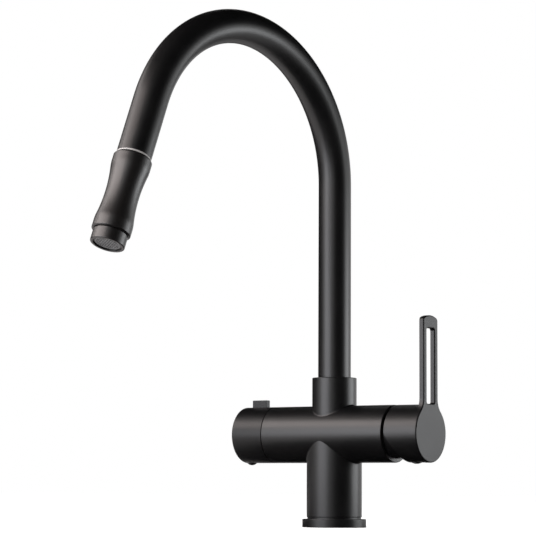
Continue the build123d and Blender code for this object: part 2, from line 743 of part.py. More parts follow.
def blend_mid_angle(disc_r, half):
    """The angle at the middle of the blend's arc, seen from its centre."""
    full = math.acos((half + LEVER_BLEND_R) / (disc_r + LEVER_BLEND_R))
    return full / 2


def make_handle():
    """The lever handle: a hollow hub with a slanted rim below, and the disc and slotted lever."""
    plate_plane = Plane(origin=(PLATE_X, 0, CROSS_Z), x_dir=(0, 1, 0), z_dir=(1, 0, 0))
    plate = extrude(plate_plane * lever_outline(), PLATE_T)
    outer_edges = plate.edges().filter_by(lambda e: abs(e.center().X - FACE_X) < 0.01)
    plate = fillet(outer_edges, PLATE_EDGE)

    hub = on_cross(
        turned([(0, HUB_X), (HUB_D / 2, HUB_X), (HUB_D / 2, PLATE_X + 0.2), (0, PLATE_X + 0.2)])
    )
    cavity_d = 2 * (DOME_R + HUB_WALL_GAP)
    hub -= on_cross(bar(cavity_d, HUB_X - 1, HUB_ROOF_X))
    boss = bar(HUB_BOSS_D, HUB_ROOF_X - HUB_BOSS_LEN, HUB_ROOF_X + 1)
    hub += on_cross(boss)
    socket_side = STEM_SIDE + 2 * SEAT_GAP
    socket_end = STEM_END_X + FREE_GAP
    socket = Pos(0, 0, (HUB_X + socket_end) / 2) * Box(socket_side, socket_side, socket_end - HUB_X)
    cutter = Pos(HUB_X, 0, CROSS_Z) * Rot(0, -(LEVER_TILT + HUB_CUT_MARGIN), 0) * Box(
        2 * HUB_D, 2 * HUB_D, 4 * HUB_D, align=(Align.MAX, Align.CENTER, Align.CENTER)
    )
    lower_half = Pos(HUB_X, 0, CROSS_Z) * Box(
        2 * HUB_LEN, 2 * HUB_D, HUB_D, align=(Align.CENTER, Align.CENTER, Align.MAX)
    )
    handle = hub + plate
    handle -= on_cross(socket)
    handle -= cutter & lower_half
    handle -= below_cross(PLUG_X, bar(PLUG_D + 2 * SEAT_GAP, HUB_BOSS_D / 2, HUB_D))
    handle -= below_cross(PLUG_X, bar(GRUB_D + 2 * SEAT_GAP, STEM_SIDE / 4, HUB_D))
    nodes["lever_handle"] = handle

    screw = grub_screw(GRUB_D, GRUB_LEN, GRUB_HEX)
    nodes["handle_grub_screw"] = below_cross(PLUG_X, Pos(0, 0, STEM_SIDE / 2 + SEAT_GAP) * screw)
    plug = domed_plug(PLUG_D, PLUG_SINK, PLUG_DOME)
    nodes["handle_screw_plug"] = below_cross(PLUG_X, Pos(0, 0, HUB_D / 2) * plug)


def below_cross(x, piece):
    """Lay a piece drawn outwards along Z so that it points down from the cross axis at x."""
    return Pos(x, 0, CROSS_Z) * Rot(180, 0, 0) * piece


# Appliance valve and knob, drawn along Z with Z = -x
def on_left(piece):
    """Lay a piece drawn along Z on the cross axis so that its Z points to the left end."""
    return Pos(0, 0, CROSS_Z) * Rot(0, -90, 0) * piece


def make_valve():
    """The quarter-turn valve: seat ring, headwork, ceramic discs, spindle, rings and clip."""
    seat = LEFT_WALL_X
    nose_start = seat + VALVE_NOSE_GAP
    nose_end = seat + VALVE_NOSE_LEN
    thread_end = nose_end + VALVE_THREAD_L
    disc_start = seat + VALVE_RING_T
    turning_start = disc_start + VALVE_DISC_T + LAPPED_GAP
    spindle_start = turning_start + VALVE_DISC_T
    bore_end = spindle_start + VALVE_CHAMBER_L
    neck_bore = SPINDLE_D + 2 * RUN_GAP

    seat_ring = tube(VALVE_BORE_IN_D - 2 * SEAT_GAP, VALVE_RING_BORE_D, seat, disc_start)
    nodes["valve_seat_ring"] = on_left(seat_ring)
    headwork = bar(VALVE_NOSE_D, nose_start, nose_end)
    headwork += bar(VALVE_BORE_D, nose_end, thread_end)
    headwork += hexagon(VALVE_HEX, thread_end, thread_end + VALVE_HEX_L)
    headwork += bar(VALVE_NECK_D, thread_end, VALVE_NECK_END)
    headwork -= bar(VALVE_BORE_IN_D, seat, bore_end)
    headwork -= bar(neck_bore, seat, VALVE_NECK_END + 1)
    window_at = spindle_start + VALVE_WINDOW_L / 2
    window = Pos(0, 0, window_at) * Box(2 * VALVE_NOSE_D, VALVE_WINDOW_W, VALVE_WINDOW_L)
    headwork -= window & bar(VALVE_NOSE_D + 2, nose_start, nose_end)
    nodes["valve_headwork"] = on_left(headwork)

    fixed = bar(VALVE_DISC_D, disc_start, disc_start + VALVE_DISC_T)
    turning = bar(VALVE_DISC_D, turning_start, turning_start + VALVE_DISC_T)
    for side in (-1, 1):
        fixed -= Pos(0, side * VALVE_PORT_R, 0) * bar(VALVE_PORT_D, seat, bore_end)
        turning -= Pos(side * VALVE_PORT_R, 0, 0) * bar(VALVE_PORT_D, seat, bore_end)
    nodes["valve_fixed_disc"] = on_left(fixed)
    nodes["valve_turning_disc"] = on_left(turning)

    clip_at = VALVE_NECK_END + FACE_GAP
    spindle_end = -SPINDLE_END_X
    ring_places = (VALVE_NECK_END - 2 * RING_SPACING, VALVE_NECK_END - RING_SPACING)
    spindle = bar(VALVE_DISC_D, spindle_start, spindle_start + SPINDLE_HEAD_L)
    spindle += bar(SPINDLE_D, spindle_start, clip_at + 2 * CLIP_T)
    spindle += bar(SPINDLE_TIP_D, clip_at, spindle_end)
    spindle -= tube(SPINDLE_D + 2, CLIP_GROOVE_D, clip_at, clip_at + CLIP_T)
    half_groove = RING_SECTION / 2 + RING_PLAY
    for at in ring_places:
        groove_d = SPINDLE_D - 2 * RING_SECTION
        spindle -= tube(SPINDLE_D + 2, groove_d, at - half_groove, at + half_groove)
    nodes["valve_spindle"] = on_left(spindle)
    rings = [on_left(ring_seal(SPINDLE_D - RING_SECTION, RING_SECTION, at)) for at in ring_places]
    nodes["spindle_rings"] = Compound(rings)
    clip = tube(CLIP_D, CLIP_GROOVE_D + 2 * SEAT_GAP, clip_at, clip_at + CLIP_T)
    clip -= Pos(0, CLIP_D, clip_at) * Box(CLIP_MOUTH, 2 * CLIP_D, 4 * CLIP_T)
    nodes["spindle_clip"] = on_left(clip)


def make_knob():
    """The valve's knob: a round cap with a square tab on top and a screw from below."""
    near = -KNOB_X
    end = -KNOB_END_X
    cap = turned(
        [(0, near), (CROSS_R, near), (CROSS_R, end), (0, end)],
        [((CROSS_R, end), KNOB_EDGE), ((CROSS_R, near), BODY_EDGE / 2)],
    )
    cap -= bar(CROSS_D - 2 * KNOB_WALL, near - 1, end - KNOB_END_T)
    boss_start = VALVE_NECK_END + KNOB_BOSS_GAP
    cap += bar(HUB_BOSS_D, boss_start, end - KNOB_END_T + 1)
    cap -= bar(SPINDLE_TIP_D + 2 * SEAT_GAP, boss_start - 1, -SPINDLE_END_X + FREE_GAP)
    cap = on_left(cap)
    tab_end = KNOB_END_X + TAB_FROM_END
    tab = Box(TAB_LEN, TAB_W, TAB_H + TAB_SUNK, align=(Align.MIN, Align.CENTER, Align.MAX))
    tab = fillet(tab.edges().filter_by(Axis.Z) + tab.faces().sort_by(Axis.Z)[-1].edges(), TAB_EDGE)
    cap += Pos(tab_end, 0, CROSS_Z + CROSS_R + TAB_H) * tab
    cap -= below_cross(KNOB_PLUG_X, bar(PLUG_D + 2 * SEAT_GAP, HUB_BOSS_D / 2, CROSS_D))
    cap -= below_cross(KNOB_PLUG_X, bar(GRUB_D + 2 * SEAT_GAP, SPINDLE_TIP_D / 4, CROSS_D))
    nodes["valve_knob"] = cap
    screw = Pos(0, 0, SPINDLE_TIP_D / 2 + SEAT_GAP) * grub_screw(GRUB_D, GRUB_LEN, GRUB_HEX)
    nodes["knob_grub_screw"] = below_cross(KNOB_PLUG_X, screw)
    plug = Pos(0, 0, CROSS_R) * domed_plug(PLUG_D, PLUG_SINK, KNOB_PLUG_DOME)
    nodes["knob_screw_plug"] = below_cross(KNOB_PLUG_X, plug)


# Spout
def make_spout():
    """The bent spout tube, its insert with the stop slot, its bushes, ring, screw and sleeve."""
    tube_part = swept(spout_route(INSERT_SEAT_Z, MOUTH_RUN), TUBE_D, 2 * TUBE_BORE_R)
    nodes["spout_tube"] = turned_spout(tube_part)

    insert_d = COLLAR_BORE_D - 2 * INSERT_GAP
    insert_foot = COLLAR_SEAT_Z + BUSH_FLANGE_T + FACE_GAP
    bore_d = 2 * (TUBE_BORE_R - SPIGOT_WALL)
    insert = bar(insert_d, insert_foot, INSERT_SEAT_Z)
    insert += bar(2 * TUBE_BORE_R - 2 * SEAT_GAP, INSERT_SEAT_Z, INSERT_SEAT_Z + SPIGOT_LEN)
    insert -= bar(bore_d, insert_foot - 1, INSERT_SEAT_Z + SPIGOT_LEN + 1)
    groove_d = COLLAR_BORE_D - 2 * FRICTION_SECTION - 2 * FREE_GAP
    half_groove = FRICTION_SECTION / 2 + RING_PLAY
    insert -= tube(insert_d + 2, groove_d, FRICTION_Z - half_groove, FRICTION_Z + half_groove)
    insert -= stop_slot(insert_d)
    nodes["spout_insert"] = insert
    friction_d = COLLAR_BORE_D - FRICTION_SECTION - 2 * FREE_GAP
    nodes["swivel_friction_ring"] = ring_seal(friction_d, FRICTION_SECTION, FRICTION_Z)

    bush_d = COLLAR_BORE_D - 2 * SEAT_GAP
    lower = tube(bush_d, insert_d + 2 * RUN_GAP, COLLAR_SEAT_Z, COLLAR_SEAT_Z + LOWER_BUSH_H)
    lower += tube(bush_d, THROAT_D + 2 * BUSH_FLANGE_T, COLLAR_SEAT_Z, COLLAR_SEAT_Z + BUSH_FLANGE_T)
    nodes["swivel_lower_bush"] = lower
    upper = tube(bush_d, TUBE_D + 2 * RUN_GAP, INSERT_SEAT_Z + FREE_GAP, COLLAR_TOP_Z)
    nodes["swivel_upper_bush"] = upper

    dog_l = STOP_SLOT_DEPTH - STOP_SCREW_SUNK
    dog_start = insert_d / 2 + FREE_GAP
    length = COLLAR_D / 2 - dog_start - STOP_SCREW_SUNK
    screw = grub_screw(STOP_SCREW_D, length, STOP_SCREW_HEX, STOP_DOG_D, dog_l)
    nodes["swivel_stop_screw"] = stop_screw_place(Pos(0, 0, dog_start) * screw)

    sleeve = tube(SLEEVE_D, SLEEVE_BORE_D, -SLEEVE_LEN, MOUTH_RING_T)
    sleeve += tube(TUBE_D, SLEEVE_BORE_D, 0, MOUTH_RING_T)
    nodes["docking_sleeve"] = on_mouth(sleeve)


def stop_slot(insert_d):
    """The slot round the insert that the stop screw runs in, as long as the swivel's range."""
    slack = math.degrees((STOP_DOG_D + 2 * FREE_GAP) / insert_d)
    first = 90 - (SWIVEL_EACH_WAY - REST_TURN) - slack
    last = 90 + (SWIVEL_EACH_WAY + REST_TURN) + slack
    half_h = STOP_SLOT_H / 2
    band = tube(insert_d + 2, insert_d - 2 * STOP_SLOT_DEPTH, STOP_Z - half_h, STOP_Z + half_h)
    points = [(0, 0)]
    steps = 6
    for step in range(steps + 1):
        angle = math.radians(first + (last - first) * step / steps)
        points.append((insert_d * math.cos(angle), insert_d * math.sin(angle)))
    sector = extrude(make_face(Polyline(*points, close=True)), COLLAR_TOP_Z)
    return band & sector


# Hose
def make_hose():
    """The pull-out hose along the spout, its upper ferrule and nipple and its lower inlet."""
    lower_end = INLET_NUT_Z + INLET_NUT_H + FACE_GAP + FERRULE_CAP_T + HOSE_END_GAP
    route = spout_route(lower_end, MOUTH_RUN - HOSE_FROM_MOUTH)
    nodes["spray_hose"] = turned_spout(swept(route, HOSE_D, HOSE_BORE_D))

    cap_s = -(HOSE_FROM_MOUTH - HOSE_END_GAP)
    ferrule = tube(FERRULE_D, HOSE_D + 2 * FREE_GAP, cap_s - FERRULE_L, cap_s)
    ferrule += tube(FERRULE_D, NIPPLE_NECK_D + 2 * SEAT_GAP, cap_s, cap_s + FERRULE_CAP_T)
    nodes["hose_outlet_ferrule"] = on_mouth(ferrule)

    flange_end = nut_start() + HOSE_NUT_LIP + FACE_GAP + NIPPLE_FLANGE_T
    nipple = bar(NIPPLE_NECK_D, cap_s, flange_end)
    nipple += bar(NIPPLE_FLANGE_D, flange_end - NIPPLE_FLANGE_T, flange_end)
    nipple += bar(HOSE_BORE_D - 2 * FREE_GAP, cap_s - NIPPLE_TAIL_L, cap_s)
    nipple -= bar(NIPPLE_BORE_D, cap_s - NIPPLE_TAIL_L - 1, flange_end + 1)
    nodes["hose_outlet_nipple"] = on_mouth(nipple)

    start = INLET_NUT_Z + INLET_NUT_H
    cap_end = start + FACE_GAP + FERRULE_CAP_T
    lower = tube(FERRULE_D, HOSE_D + 2 * SEAT_GAP, cap_end, start + LOWER_FERRULE_L)
    lower += tube(FERRULE_D, HOSE_BORE_D, start + FACE_GAP, cap_end)
    nodes["hose_inlet_ferrule"] = lower
    fitting = hexagon(INLET_NUT_ACROSS, INLET_NUT_Z, start)
    fitting &= bar(INLET_NUT_D, INLET_NUT_Z - 1, start + 1)
    fitting -= bar(INLET_THREAD_BORE_D, INLET_NUT_Z - 1, INLET_NUT_Z + INLET_THREAD_DEPTH)
    fitting -= bar(CHECK_BODY_D + 2 * SEAT_GAP, INLET_NUT_Z, start + 1)
    nodes["hose_inlet_nut"] = fitting
    make_check_valve(INLET_NUT_Z + INLET_THREAD_DEPTH + FREE_GAP)


def nut_start():
    """Where the hose nut starts, measured beyond the mouth, so that it fills on the inlet thread."""
    return -(CORE_NECK_L + HOSE_NUT_LEN + HOSE_NUT_GAP)


def make_check_valve(foot):
    """The check valve in the hose's lower fitting: body, poppet and spring, on the Z axis."""
    seat_top = foot + CHECK_SEAT_T
    top = INLET_NUT_Z + INLET_NUT_H
    roof = top - CHECK_ROOF_T
    body = tube(CHECK_BODY_D, CHECK_BORE_D, foot, top)
    body += tube(CHECK_BODY_D, CHECK_SEAT_D, foot, seat_top)
    spider = tube(CHECK_BODY_D, CHECK_ROOF_BORE_D, roof, top)
    for turn in range(CHECK_WINDOWS):
        window = Pos(CHECK_WINDOW_R, 0, 0) * bar(CHECK_WINDOW_D, roof - 1, top + 1)
        spider -= Rot(0, 0, turn * 360 / CHECK_WINDOWS) * window
    nodes["check_valve_body"] = body + spider
    stem_top = roof - CHECK_LIFT - FREE_GAP
    poppet = bar(POPPET_D, seat_top, seat_top + POPPET_T)
    nodes["check_valve_poppet"] = poppet + bar(POPPET_STEM_D, seat_top, stem_top)
    nodes["check_valve_spring"] = coil_spring(seat_top + POPPET_T, roof)


def coil_spring(start, end):
    """A coil spring between two flats on the Z axis."""
    half_wire = SPRING_WIRE_D / 2
    height = end - start - 2 * half_wire - 2 * SEAT_GAP
    pitch = height / SPRING_TURNS
    line = Pos(0, 0, start + half_wire + SEAT_GAP) * Helix(pitch, height, SPRING_D / 2 - half_wire)
    wire = Wire(line.edges())
    plane = Plane(origin=wire @ 0, z_dir=wire % 0)
    return sweep(plane * Circle(half_wire), path=wire, is_frenet=True)


# Spray head
def make_spray():
    """The spray head: nut, washer, core, waisted shell and aerator, along the mouth's axis."""
    start = nut_start()
    nut_end = start + HOSE_NUT_LEN
    nut = hexagon(NUT_ACROSS, start, nut_end) & bar(NUT_ROUND_D, start - 1, nut_end + 1)
    nut -= bar(INLET_THREAD_D + 2 * SEAT_GAP, start + HOSE_NUT_LIP, nut_end + 1)
    nut -= bar(NIPPLE_NECK_D + 2 * FREE_GAP, start - 1, start + 2 * HOSE_NUT_LIP)
    nodes["hose_nut"] = on_mouth(nut)

    washer_start = start + HOSE_NUT_LIP + FACE_GAP + NIPPLE_FLANGE_T + FACE_GAP
    thread_start = washer_start + WASHER_T
    washer = tube(NIPPLE_FLANGE_D, NIPPLE_BORE_D + 2 * FREE_GAP, washer_start, thread_start)
    nodes["hose_washer"] = on_mouth(washer)

    shell_start = MOUTH_RING_T + SPRAY_GAP
    neck_start = -CORE_NECK_L
    bore = SPRAY_BORE_D - 2 * SEAT_GAP
    core = bar(INLET_THREAD_D, thread_start, neck_start + 1)
    core += bar(CORE_NECK_D, neck_start, CORE_HEAD_S)
    core += bar(bore, shell_start + CORE_LEDGE, CORE_HEAD_S)
    core += bar(CORE_STEM_D, CORE_HEAD_S, CORE_CUP_S)
    core += bar(bore, CORE_CUP_S, SPRAY_END_S - CORE_INSET)
    core -= bar(CORE_WATERWAY_D, thread_start - 1, SPRAY_END_S)
    thread_from = SPRAY_END_S - AERATOR_THREAD_L
    cup_from = thread_from - SPRAY_SEAL_T
    core -= bar(AERATOR_THREAD_D + 2 * SEAT_GAP, cup_from, SPRAY_END_S + 1)
    nodes["spray_core"] = on_mouth(core)

    nodes["spray_shell"] = on_mouth(make_shell(shell_start))

    seal_bore = AERATOR_BORE_D - 2 * JET_WALL
    seal = tube(AERATOR_THREAD_D - 2 * SEAT_GAP, seal_bore, cup_from, thread_from - FACE_GAP)
    nodes["aerator_seal"] = on_mouth(seal)
    rim = AERATOR_D / 2
    ring_start = SPRAY_END_S + FREE_GAP
    mouth_start = AERATOR_END_S - AERATOR_MOUTH_L
    housing = turned(
        [
            (AERATOR_BORE_D / 2, thread_from),
            (AERATOR_THREAD_D / 2, thread_from),
            (AERATOR_THREAD_D / 2, ring_start),
            (rim, ring_start),
            (rim, AERATOR_END_S),
            (AERATOR_MOUTH_D / 2, AERATOR_END_S),
            (AERATOR_MOUTH_D / 2, mouth_start),
            (AERATOR_BORE_D / 2, mouth_start),
        ],
        [
            ((rim, AERATOR_END_S), AERATOR_EDGE),
            ((AERATOR_MOUTH_D / 2, AERATOR_END_S), AERATOR_EDGE / 2),
        ],
    )
    nodes["aerator_housing"] = on_mouth(housing)
    mesh_end = AERATOR_END_S - MESH_INSET
    mesh_start = mesh_end - MESH_T
    insert_d = AERATOR_BORE_D - 2 * SEAT_GAP
    insert_start = thread_from + FREE_GAP
    plate_end = insert_start + JET_PLATE_T
    insert = tube(insert_d, insert_d - 2 * JET_WALL, insert_start, mesh_start)
    insert += bar(insert_d, insert_start, plate_end)
    jet = Pos(insert_d / 2 - JET_FROM_RIM, 0, 0) * bar(JET_D, insert_start - 1, plate_end + 1)
    for turn in range(JET_COUNT):
        insert -= Rot(0, 0, turn * 360 / JET_COUNT) * jet
    nodes["aerator_insert"] = on_mouth(insert)
    nodes["aerator_mesh"] = on_mouth(make_mesh(mesh_start, mesh_end))


def make_shell(start):
    """The waisted shell: a small shoulder, a flat, a waist arc, a flat and a thin lower lip."""
    full = SPRAY_D / 2
    waist = SPRAY_WAIST_D / 2
    bore = SPRAY_BORE_D / 2
    lip = SPRAY_LIP_D / 2
    shoulder = (SPRAY_SHOULDER_D / 2, start)
    shoulder_end = (full, start + SPRAY_SHOULDER_L)
    waist_from = (full, SPRAY_WAIST_S - SPRAY_WAIST_HALF)
    waist_to = (full, SPRAY_WAIST_S + SPRAY_WAIST_HALF)
    lip_from = (full, SPRAY_END_S - SPRAY_LIP_L)
    outline = [
        Line((bore, start), shoulder),
        Line(shoulder, shoulder_end),
        Line(shoulder_end, waist_from),
        ThreePointArc(waist_from, (waist, SPRAY_WAIST_S), waist_to),
        Line(waist_to, lip_from),
        Line(lip_from, (lip, SPRAY_END_S)),
        Line((lip, SPRAY_END_S), (bore, SPRAY_END_S)),
        Line((bore, SPRAY_END_S), (bore, start)),
    ]
    face = make_face(outline)
    for place in (waist_from, waist_to):
        face = fillet(face.vertices().sort_by_distance(place)[0], SPRAY_WAIST_BLEND)
    shell = revolve(Plane.XZ * face, Axis.Z)
    return shell - bar(CORE_NECK_D + 2 * SEAT_GAP, start - 1, start + 1)


def make_mesh(start, end):
    """The honeycomb plate in the aerator's mouth: a thin disc with a field of round holes."""
    plate_d = AERATOR_MOUTH_D - 2 * SEAT_GAP
    plate = bar(plate_d, start, end)
    holes = []
    rows = int(plate_d / MESH_CELL)
    for row in range(-rows, rows + 1):
        for column in range(-rows, rows + 1):
            x = MESH_CELL * (column + 0.5 * (row % 2))
            y = MESH_CELL * row * math.sqrt(3) / 2
            if math.hypot(x, y) < plate_d / 2 - MESH_HOLE_D:
                holes.append(Pos(x, y, 0) * bar(MESH_HOLE_D, start - 1, end + 1))
    return plate - holes


nodes["base_flange"] = make_flange()
nodes["base_gasket"] = make_gasket()
nodes["mixer_body"] = make_body()
nodes["hose_guide"] = make_hose_guide()
make_pipes()
make_cartridge()
make_nut_and_dome()
make_handle()
make_valve()
make_knob()
make_spout()
make_hose()
make_spray()

os.makedirs("parts", exist_ok=True)
for name, piece in nodes.items():
    export_step(piece, f"parts/{name}.step")
print(len(nodes), "nodes written")
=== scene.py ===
# %% [markdown]
# A kitchen mixer with a high swivelling spout, a pull-out spray, a side lever and a side valve knob.
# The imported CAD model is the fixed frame. It is loaded first, and everything below is fitted to it:
# its nodes keep their shapes and get their finishes here, and the surfaces that meet the eye most,
# such as the bent tube and the waisted spray, are worked out again as smooth numpy surfaces.

import json
import math

import bpy
import numpy as np
from mathutils import Matrix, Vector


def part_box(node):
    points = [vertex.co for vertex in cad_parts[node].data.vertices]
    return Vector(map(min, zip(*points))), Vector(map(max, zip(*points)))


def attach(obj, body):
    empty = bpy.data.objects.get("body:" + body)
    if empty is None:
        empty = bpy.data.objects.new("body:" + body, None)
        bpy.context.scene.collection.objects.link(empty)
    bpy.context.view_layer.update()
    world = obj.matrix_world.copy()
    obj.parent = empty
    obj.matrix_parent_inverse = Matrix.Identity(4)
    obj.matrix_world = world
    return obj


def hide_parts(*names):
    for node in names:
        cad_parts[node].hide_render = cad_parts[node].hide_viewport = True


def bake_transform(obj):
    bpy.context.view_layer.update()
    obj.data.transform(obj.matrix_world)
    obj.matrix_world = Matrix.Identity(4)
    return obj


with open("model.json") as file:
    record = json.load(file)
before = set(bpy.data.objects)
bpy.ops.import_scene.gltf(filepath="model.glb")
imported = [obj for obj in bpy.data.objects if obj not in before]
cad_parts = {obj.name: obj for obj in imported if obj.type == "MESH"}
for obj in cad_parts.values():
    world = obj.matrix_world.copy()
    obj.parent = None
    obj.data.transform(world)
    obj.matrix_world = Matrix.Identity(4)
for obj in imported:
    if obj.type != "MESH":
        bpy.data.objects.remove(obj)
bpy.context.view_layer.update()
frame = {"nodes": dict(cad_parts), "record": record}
nodes = frame["nodes"]

# %% [markdown]
# A piece in a scene could be modelled by hand, with primitives, or as a formula. Here a piece is a
# grid of points worked out by numpy in one go, and one helper makes the grid a mesh. The helper also
# writes a UV map, which runs round the piece and along it in metres, for patterns that follow it.

# %% A mesh from a grid of points
MM = 0.001


def unit(v):
    """A vector of length one."""
    return np.asarray(v, float) / np.linalg.norm(v)


def signed_volume(points, quads):
    """Six times the volume inside a closed mesh: positive when its faces point outwards."""
    a, b, c, d = (points[quads[:, k]] for k in range(4))
    return np.einsum("ij,ij->i", a, np.cross(b, c) + np.cross(c, d)).sum()


def quad_mesh(name, points, quads, uv):
    """A smooth piece from points, faces of four corners, and a (faces, 4, 2) UV array."""
    if signed_volume(points, quads) < 0:
        quads = quads[:, ::-1]
        uv = uv[:, ::-1]
    mesh = bpy.data.meshes.new(name)
    mesh.from_pydata(points.tolist(), [], quads.tolist())
    layer = mesh.uv_layers.new(name="UVMap")
    layer.data.foreach_set("uv", np.ascontiguousarray(uv, dtype=float).ravel())
    mesh.shade_smooth()
    piece = bpy.data.objects.new(name, mesh)
    bpy.context.scene.collection.objects.link(piece)
    print(name, len(quads), "quads")
    return piece


def ring_mesh(name, grid, along=None):
    """A closed ring from a (rows, columns, 3) grid that wraps both ways, like the skin of a doughnut.

    Each quad joins four neighbours of the grid. U runs round a row and v from row to row, in metres;
    another v can be given, one value for each row and one more for the first row met again.
    """
    rows, columns = grid.shape[:2]
    i, j = np.meshgrid(np.arange(rows), np.arange(columns), indexing="ij")
    corners = [(i, j), (i, j + 1), (i + 1, j + 1), (i + 1, j)]
    quads = np.stack([(row % rows) * columns + column % columns for row, column in corners], -1)
    if along is None:
        step = np.linalg.norm(np.roll(grid, -1, axis=0) - grid, axis=2).mean(axis=1)
        along = np.concatenate([[0.0], np.cumsum(step)])
    girth = np.linalg.norm(np.roll(grid, -1, axis=1) - grid, axis=2).sum(axis=1).max()
    around = np.linspace(0.0, girth, columns + 1)
    uv = np.stack([np.stack([around[column], along[row]], -1) for row, column in corners], 2)
    return quad_mesh(name, grid.reshape(-1, 3), quads.reshape(-1, 4), uv.reshape(-1, 4, 2))


def dress(piece, slot, *replaced):
    """Gives a piece the finish of its slot, and hides the nodes it stands for."""
    piece.data.materials.append(FINISHES[slot])
    if replaced:
        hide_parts(*replaced)


def fit(piece, body, slot, *replaced):
    """Puts a piece on its body and dresses it."""
    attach(piece, body)
    dress(piece, slot, *replaced)


# %% [markdown]
# Most parts of a tap are turned on a lathe: an outline goes once round an axis. Real turned parts
# have small rounded edges that catch the light, so the outline helper rounds each corner with an arc
# and leaves two close points beside it, which keep the flat stretches flat when the mesh is smoothed.

# %% Turned pieces
ARC_STEPS = 6
GUARD = 0.15 * MM
SHARP = 0.0
KEPT = -1.0


def rounded(corners):
    """A closed outline with its corners rounded: at each one, an arc that both its sides touch.

    A corner is a row (r, h, radius). The arc's centre lies on the corner's bisector, at the radius
    over the sine of half the inner angle, and the arc is swept between the two touching points.
    Guard points lie just outside the arc on both sides. A sharp corner has no arc, and a kept one is
    a plain point.
    """
    corners = np.asarray(corners, float)
    points = corners[:, :2]
    before = np.roll(points, 1, axis=0)
    after = np.roll(points, -1, axis=0)
    outline = []
    for corner, last, following, radius in zip(points, before, after, corners[:, 2]):
        to_last = unit(last - corner)
        to_next = unit(following - corner)
        if radius == KEPT:
            outline.append(corner)
            continue
        if radius == SHARP:
            outline += [corner + to_last * GUARD, corner, corner + to_next * GUARD]
            continue
        half = math.acos(np.clip(to_last @ to_next, -1, 1)) / 2
        reach = radius / math.tan(half)
        centre = corner + unit(to_last + to_next) * radius / math.sin(half)
        start = corner + to_last * reach - centre
        end = corner + to_next * reach - centre
        turn = math.acos(np.clip(start @ end / radius**2, -1, 1))
        t = np.linspace(0, 1, ARC_STEPS + 1)[:, None]
        arc = (np.sin((1 - t) * turn) * start + np.sin(t * turn) * end) / math.sin(turn)
        outline.append(corner + to_last * (reach + GUARD))
        outline += list(centre + arc)
        outline.append(corner + to_next * (reach + GUARD))
    return np.array(outline)


def turned(name, outline, columns):
    """A ring turned round the Z axis: point = (r cos a, r sin a, h), for (r, h) on the outline."""
    angle = np.linspace(0, 2 * np.pi, columns, endpoint=False)
    spoke = np.stack([np.cos(angle), np.sin(angle), np.zeros(columns)], -1)
    rise = outline[:, 1, None, None] * np.array([0.0, 0.0, 1.0])
    return ring_mesh(name, outline[:, 0, None, None] * spoke + rise)


# %% [markdown]
# The camera comes before the looks.
# It stands low in front and to the right, nearly two metres off, with a long lens. Its place was
# found by matching the outlines of the tube, the body and the lever's round face, and it is written
# as an azimuth, a distance, a height and three small turns.

# %% Camera
CAMERA_AZIMUTH = math.radians(33.35)
CAMERA_DISTANCE = 1869.29 * MM
CAMERA_HEIGHT = 33.57 * MM
CAMERA_YAW = math.radians(1.76)
CAMERA_PITCH = math.radians(5.74)
CAMERA_ROLL = math.radians(0.29)
FOCAL_PIXELS = 2182.23
FRAME_PIXELS = 536
SENSOR_WIDTH = 36.0
SEES_TO = 50.0


def camera_axes():
    """The camera's right, up and backward directions, after its yaw, pitch and roll."""
    heading = CAMERA_AZIMUTH + CAMERA_YAW
    level = np.array([-math.sin(heading), math.cos(heading), 0.0])
    up = np.array([0.0, 0.0, 1.0])
    right = np.cross(level, up)
    forward = level * math.cos(CAMERA_PITCH) + up * math.sin(CAMERA_PITCH)
    raised = np.cross(right, forward)
    rolled = right * math.cos(CAMERA_ROLL) + raised * math.sin(CAMERA_ROLL)
    return rolled, np.cross(rolled, forward), -forward


def make_camera():
    """A camera on its place, looking along its own -Z axis."""
    data = bpy.data.cameras.new("camera")
    data.sensor_width = SENSOR_WIDTH
    data.lens = FOCAL_PIXELS / FRAME_PIXELS * SENSOR_WIDTH
    data.clip_end = SEES_TO
    camera = bpy.data.objects.new("camera", data)
    bpy.context.scene.collection.objects.link(camera)
    right, up, back = camera_axes()
    place = np.eye(4)
    place[:3, 0] = right
    place[:3, 1] = up
    place[:3, 2] = back
    place[:3, 3] = [
        math.sin(CAMERA_AZIMUTH) * CAMERA_DISTANCE,
        -math.cos(CAMERA_AZIMUTH) * CAMERA_DISTANCE,
        CAMERA_HEIGHT,
    ]
    camera.matrix_world = Matrix(place.tolist())
    bpy.context.scene.camera = camera
    print("camera lens", round(data.lens, 2), "mm")


make_camera()

# %% [markdown]
# Shader nodes could be wired by hand, one link a line, but the maths then hides behind the wiring.
# Here one small class stands for a socket: its operators add Math nodes, so a pattern is written as
# an ordinary formula, and one method adds any other node.

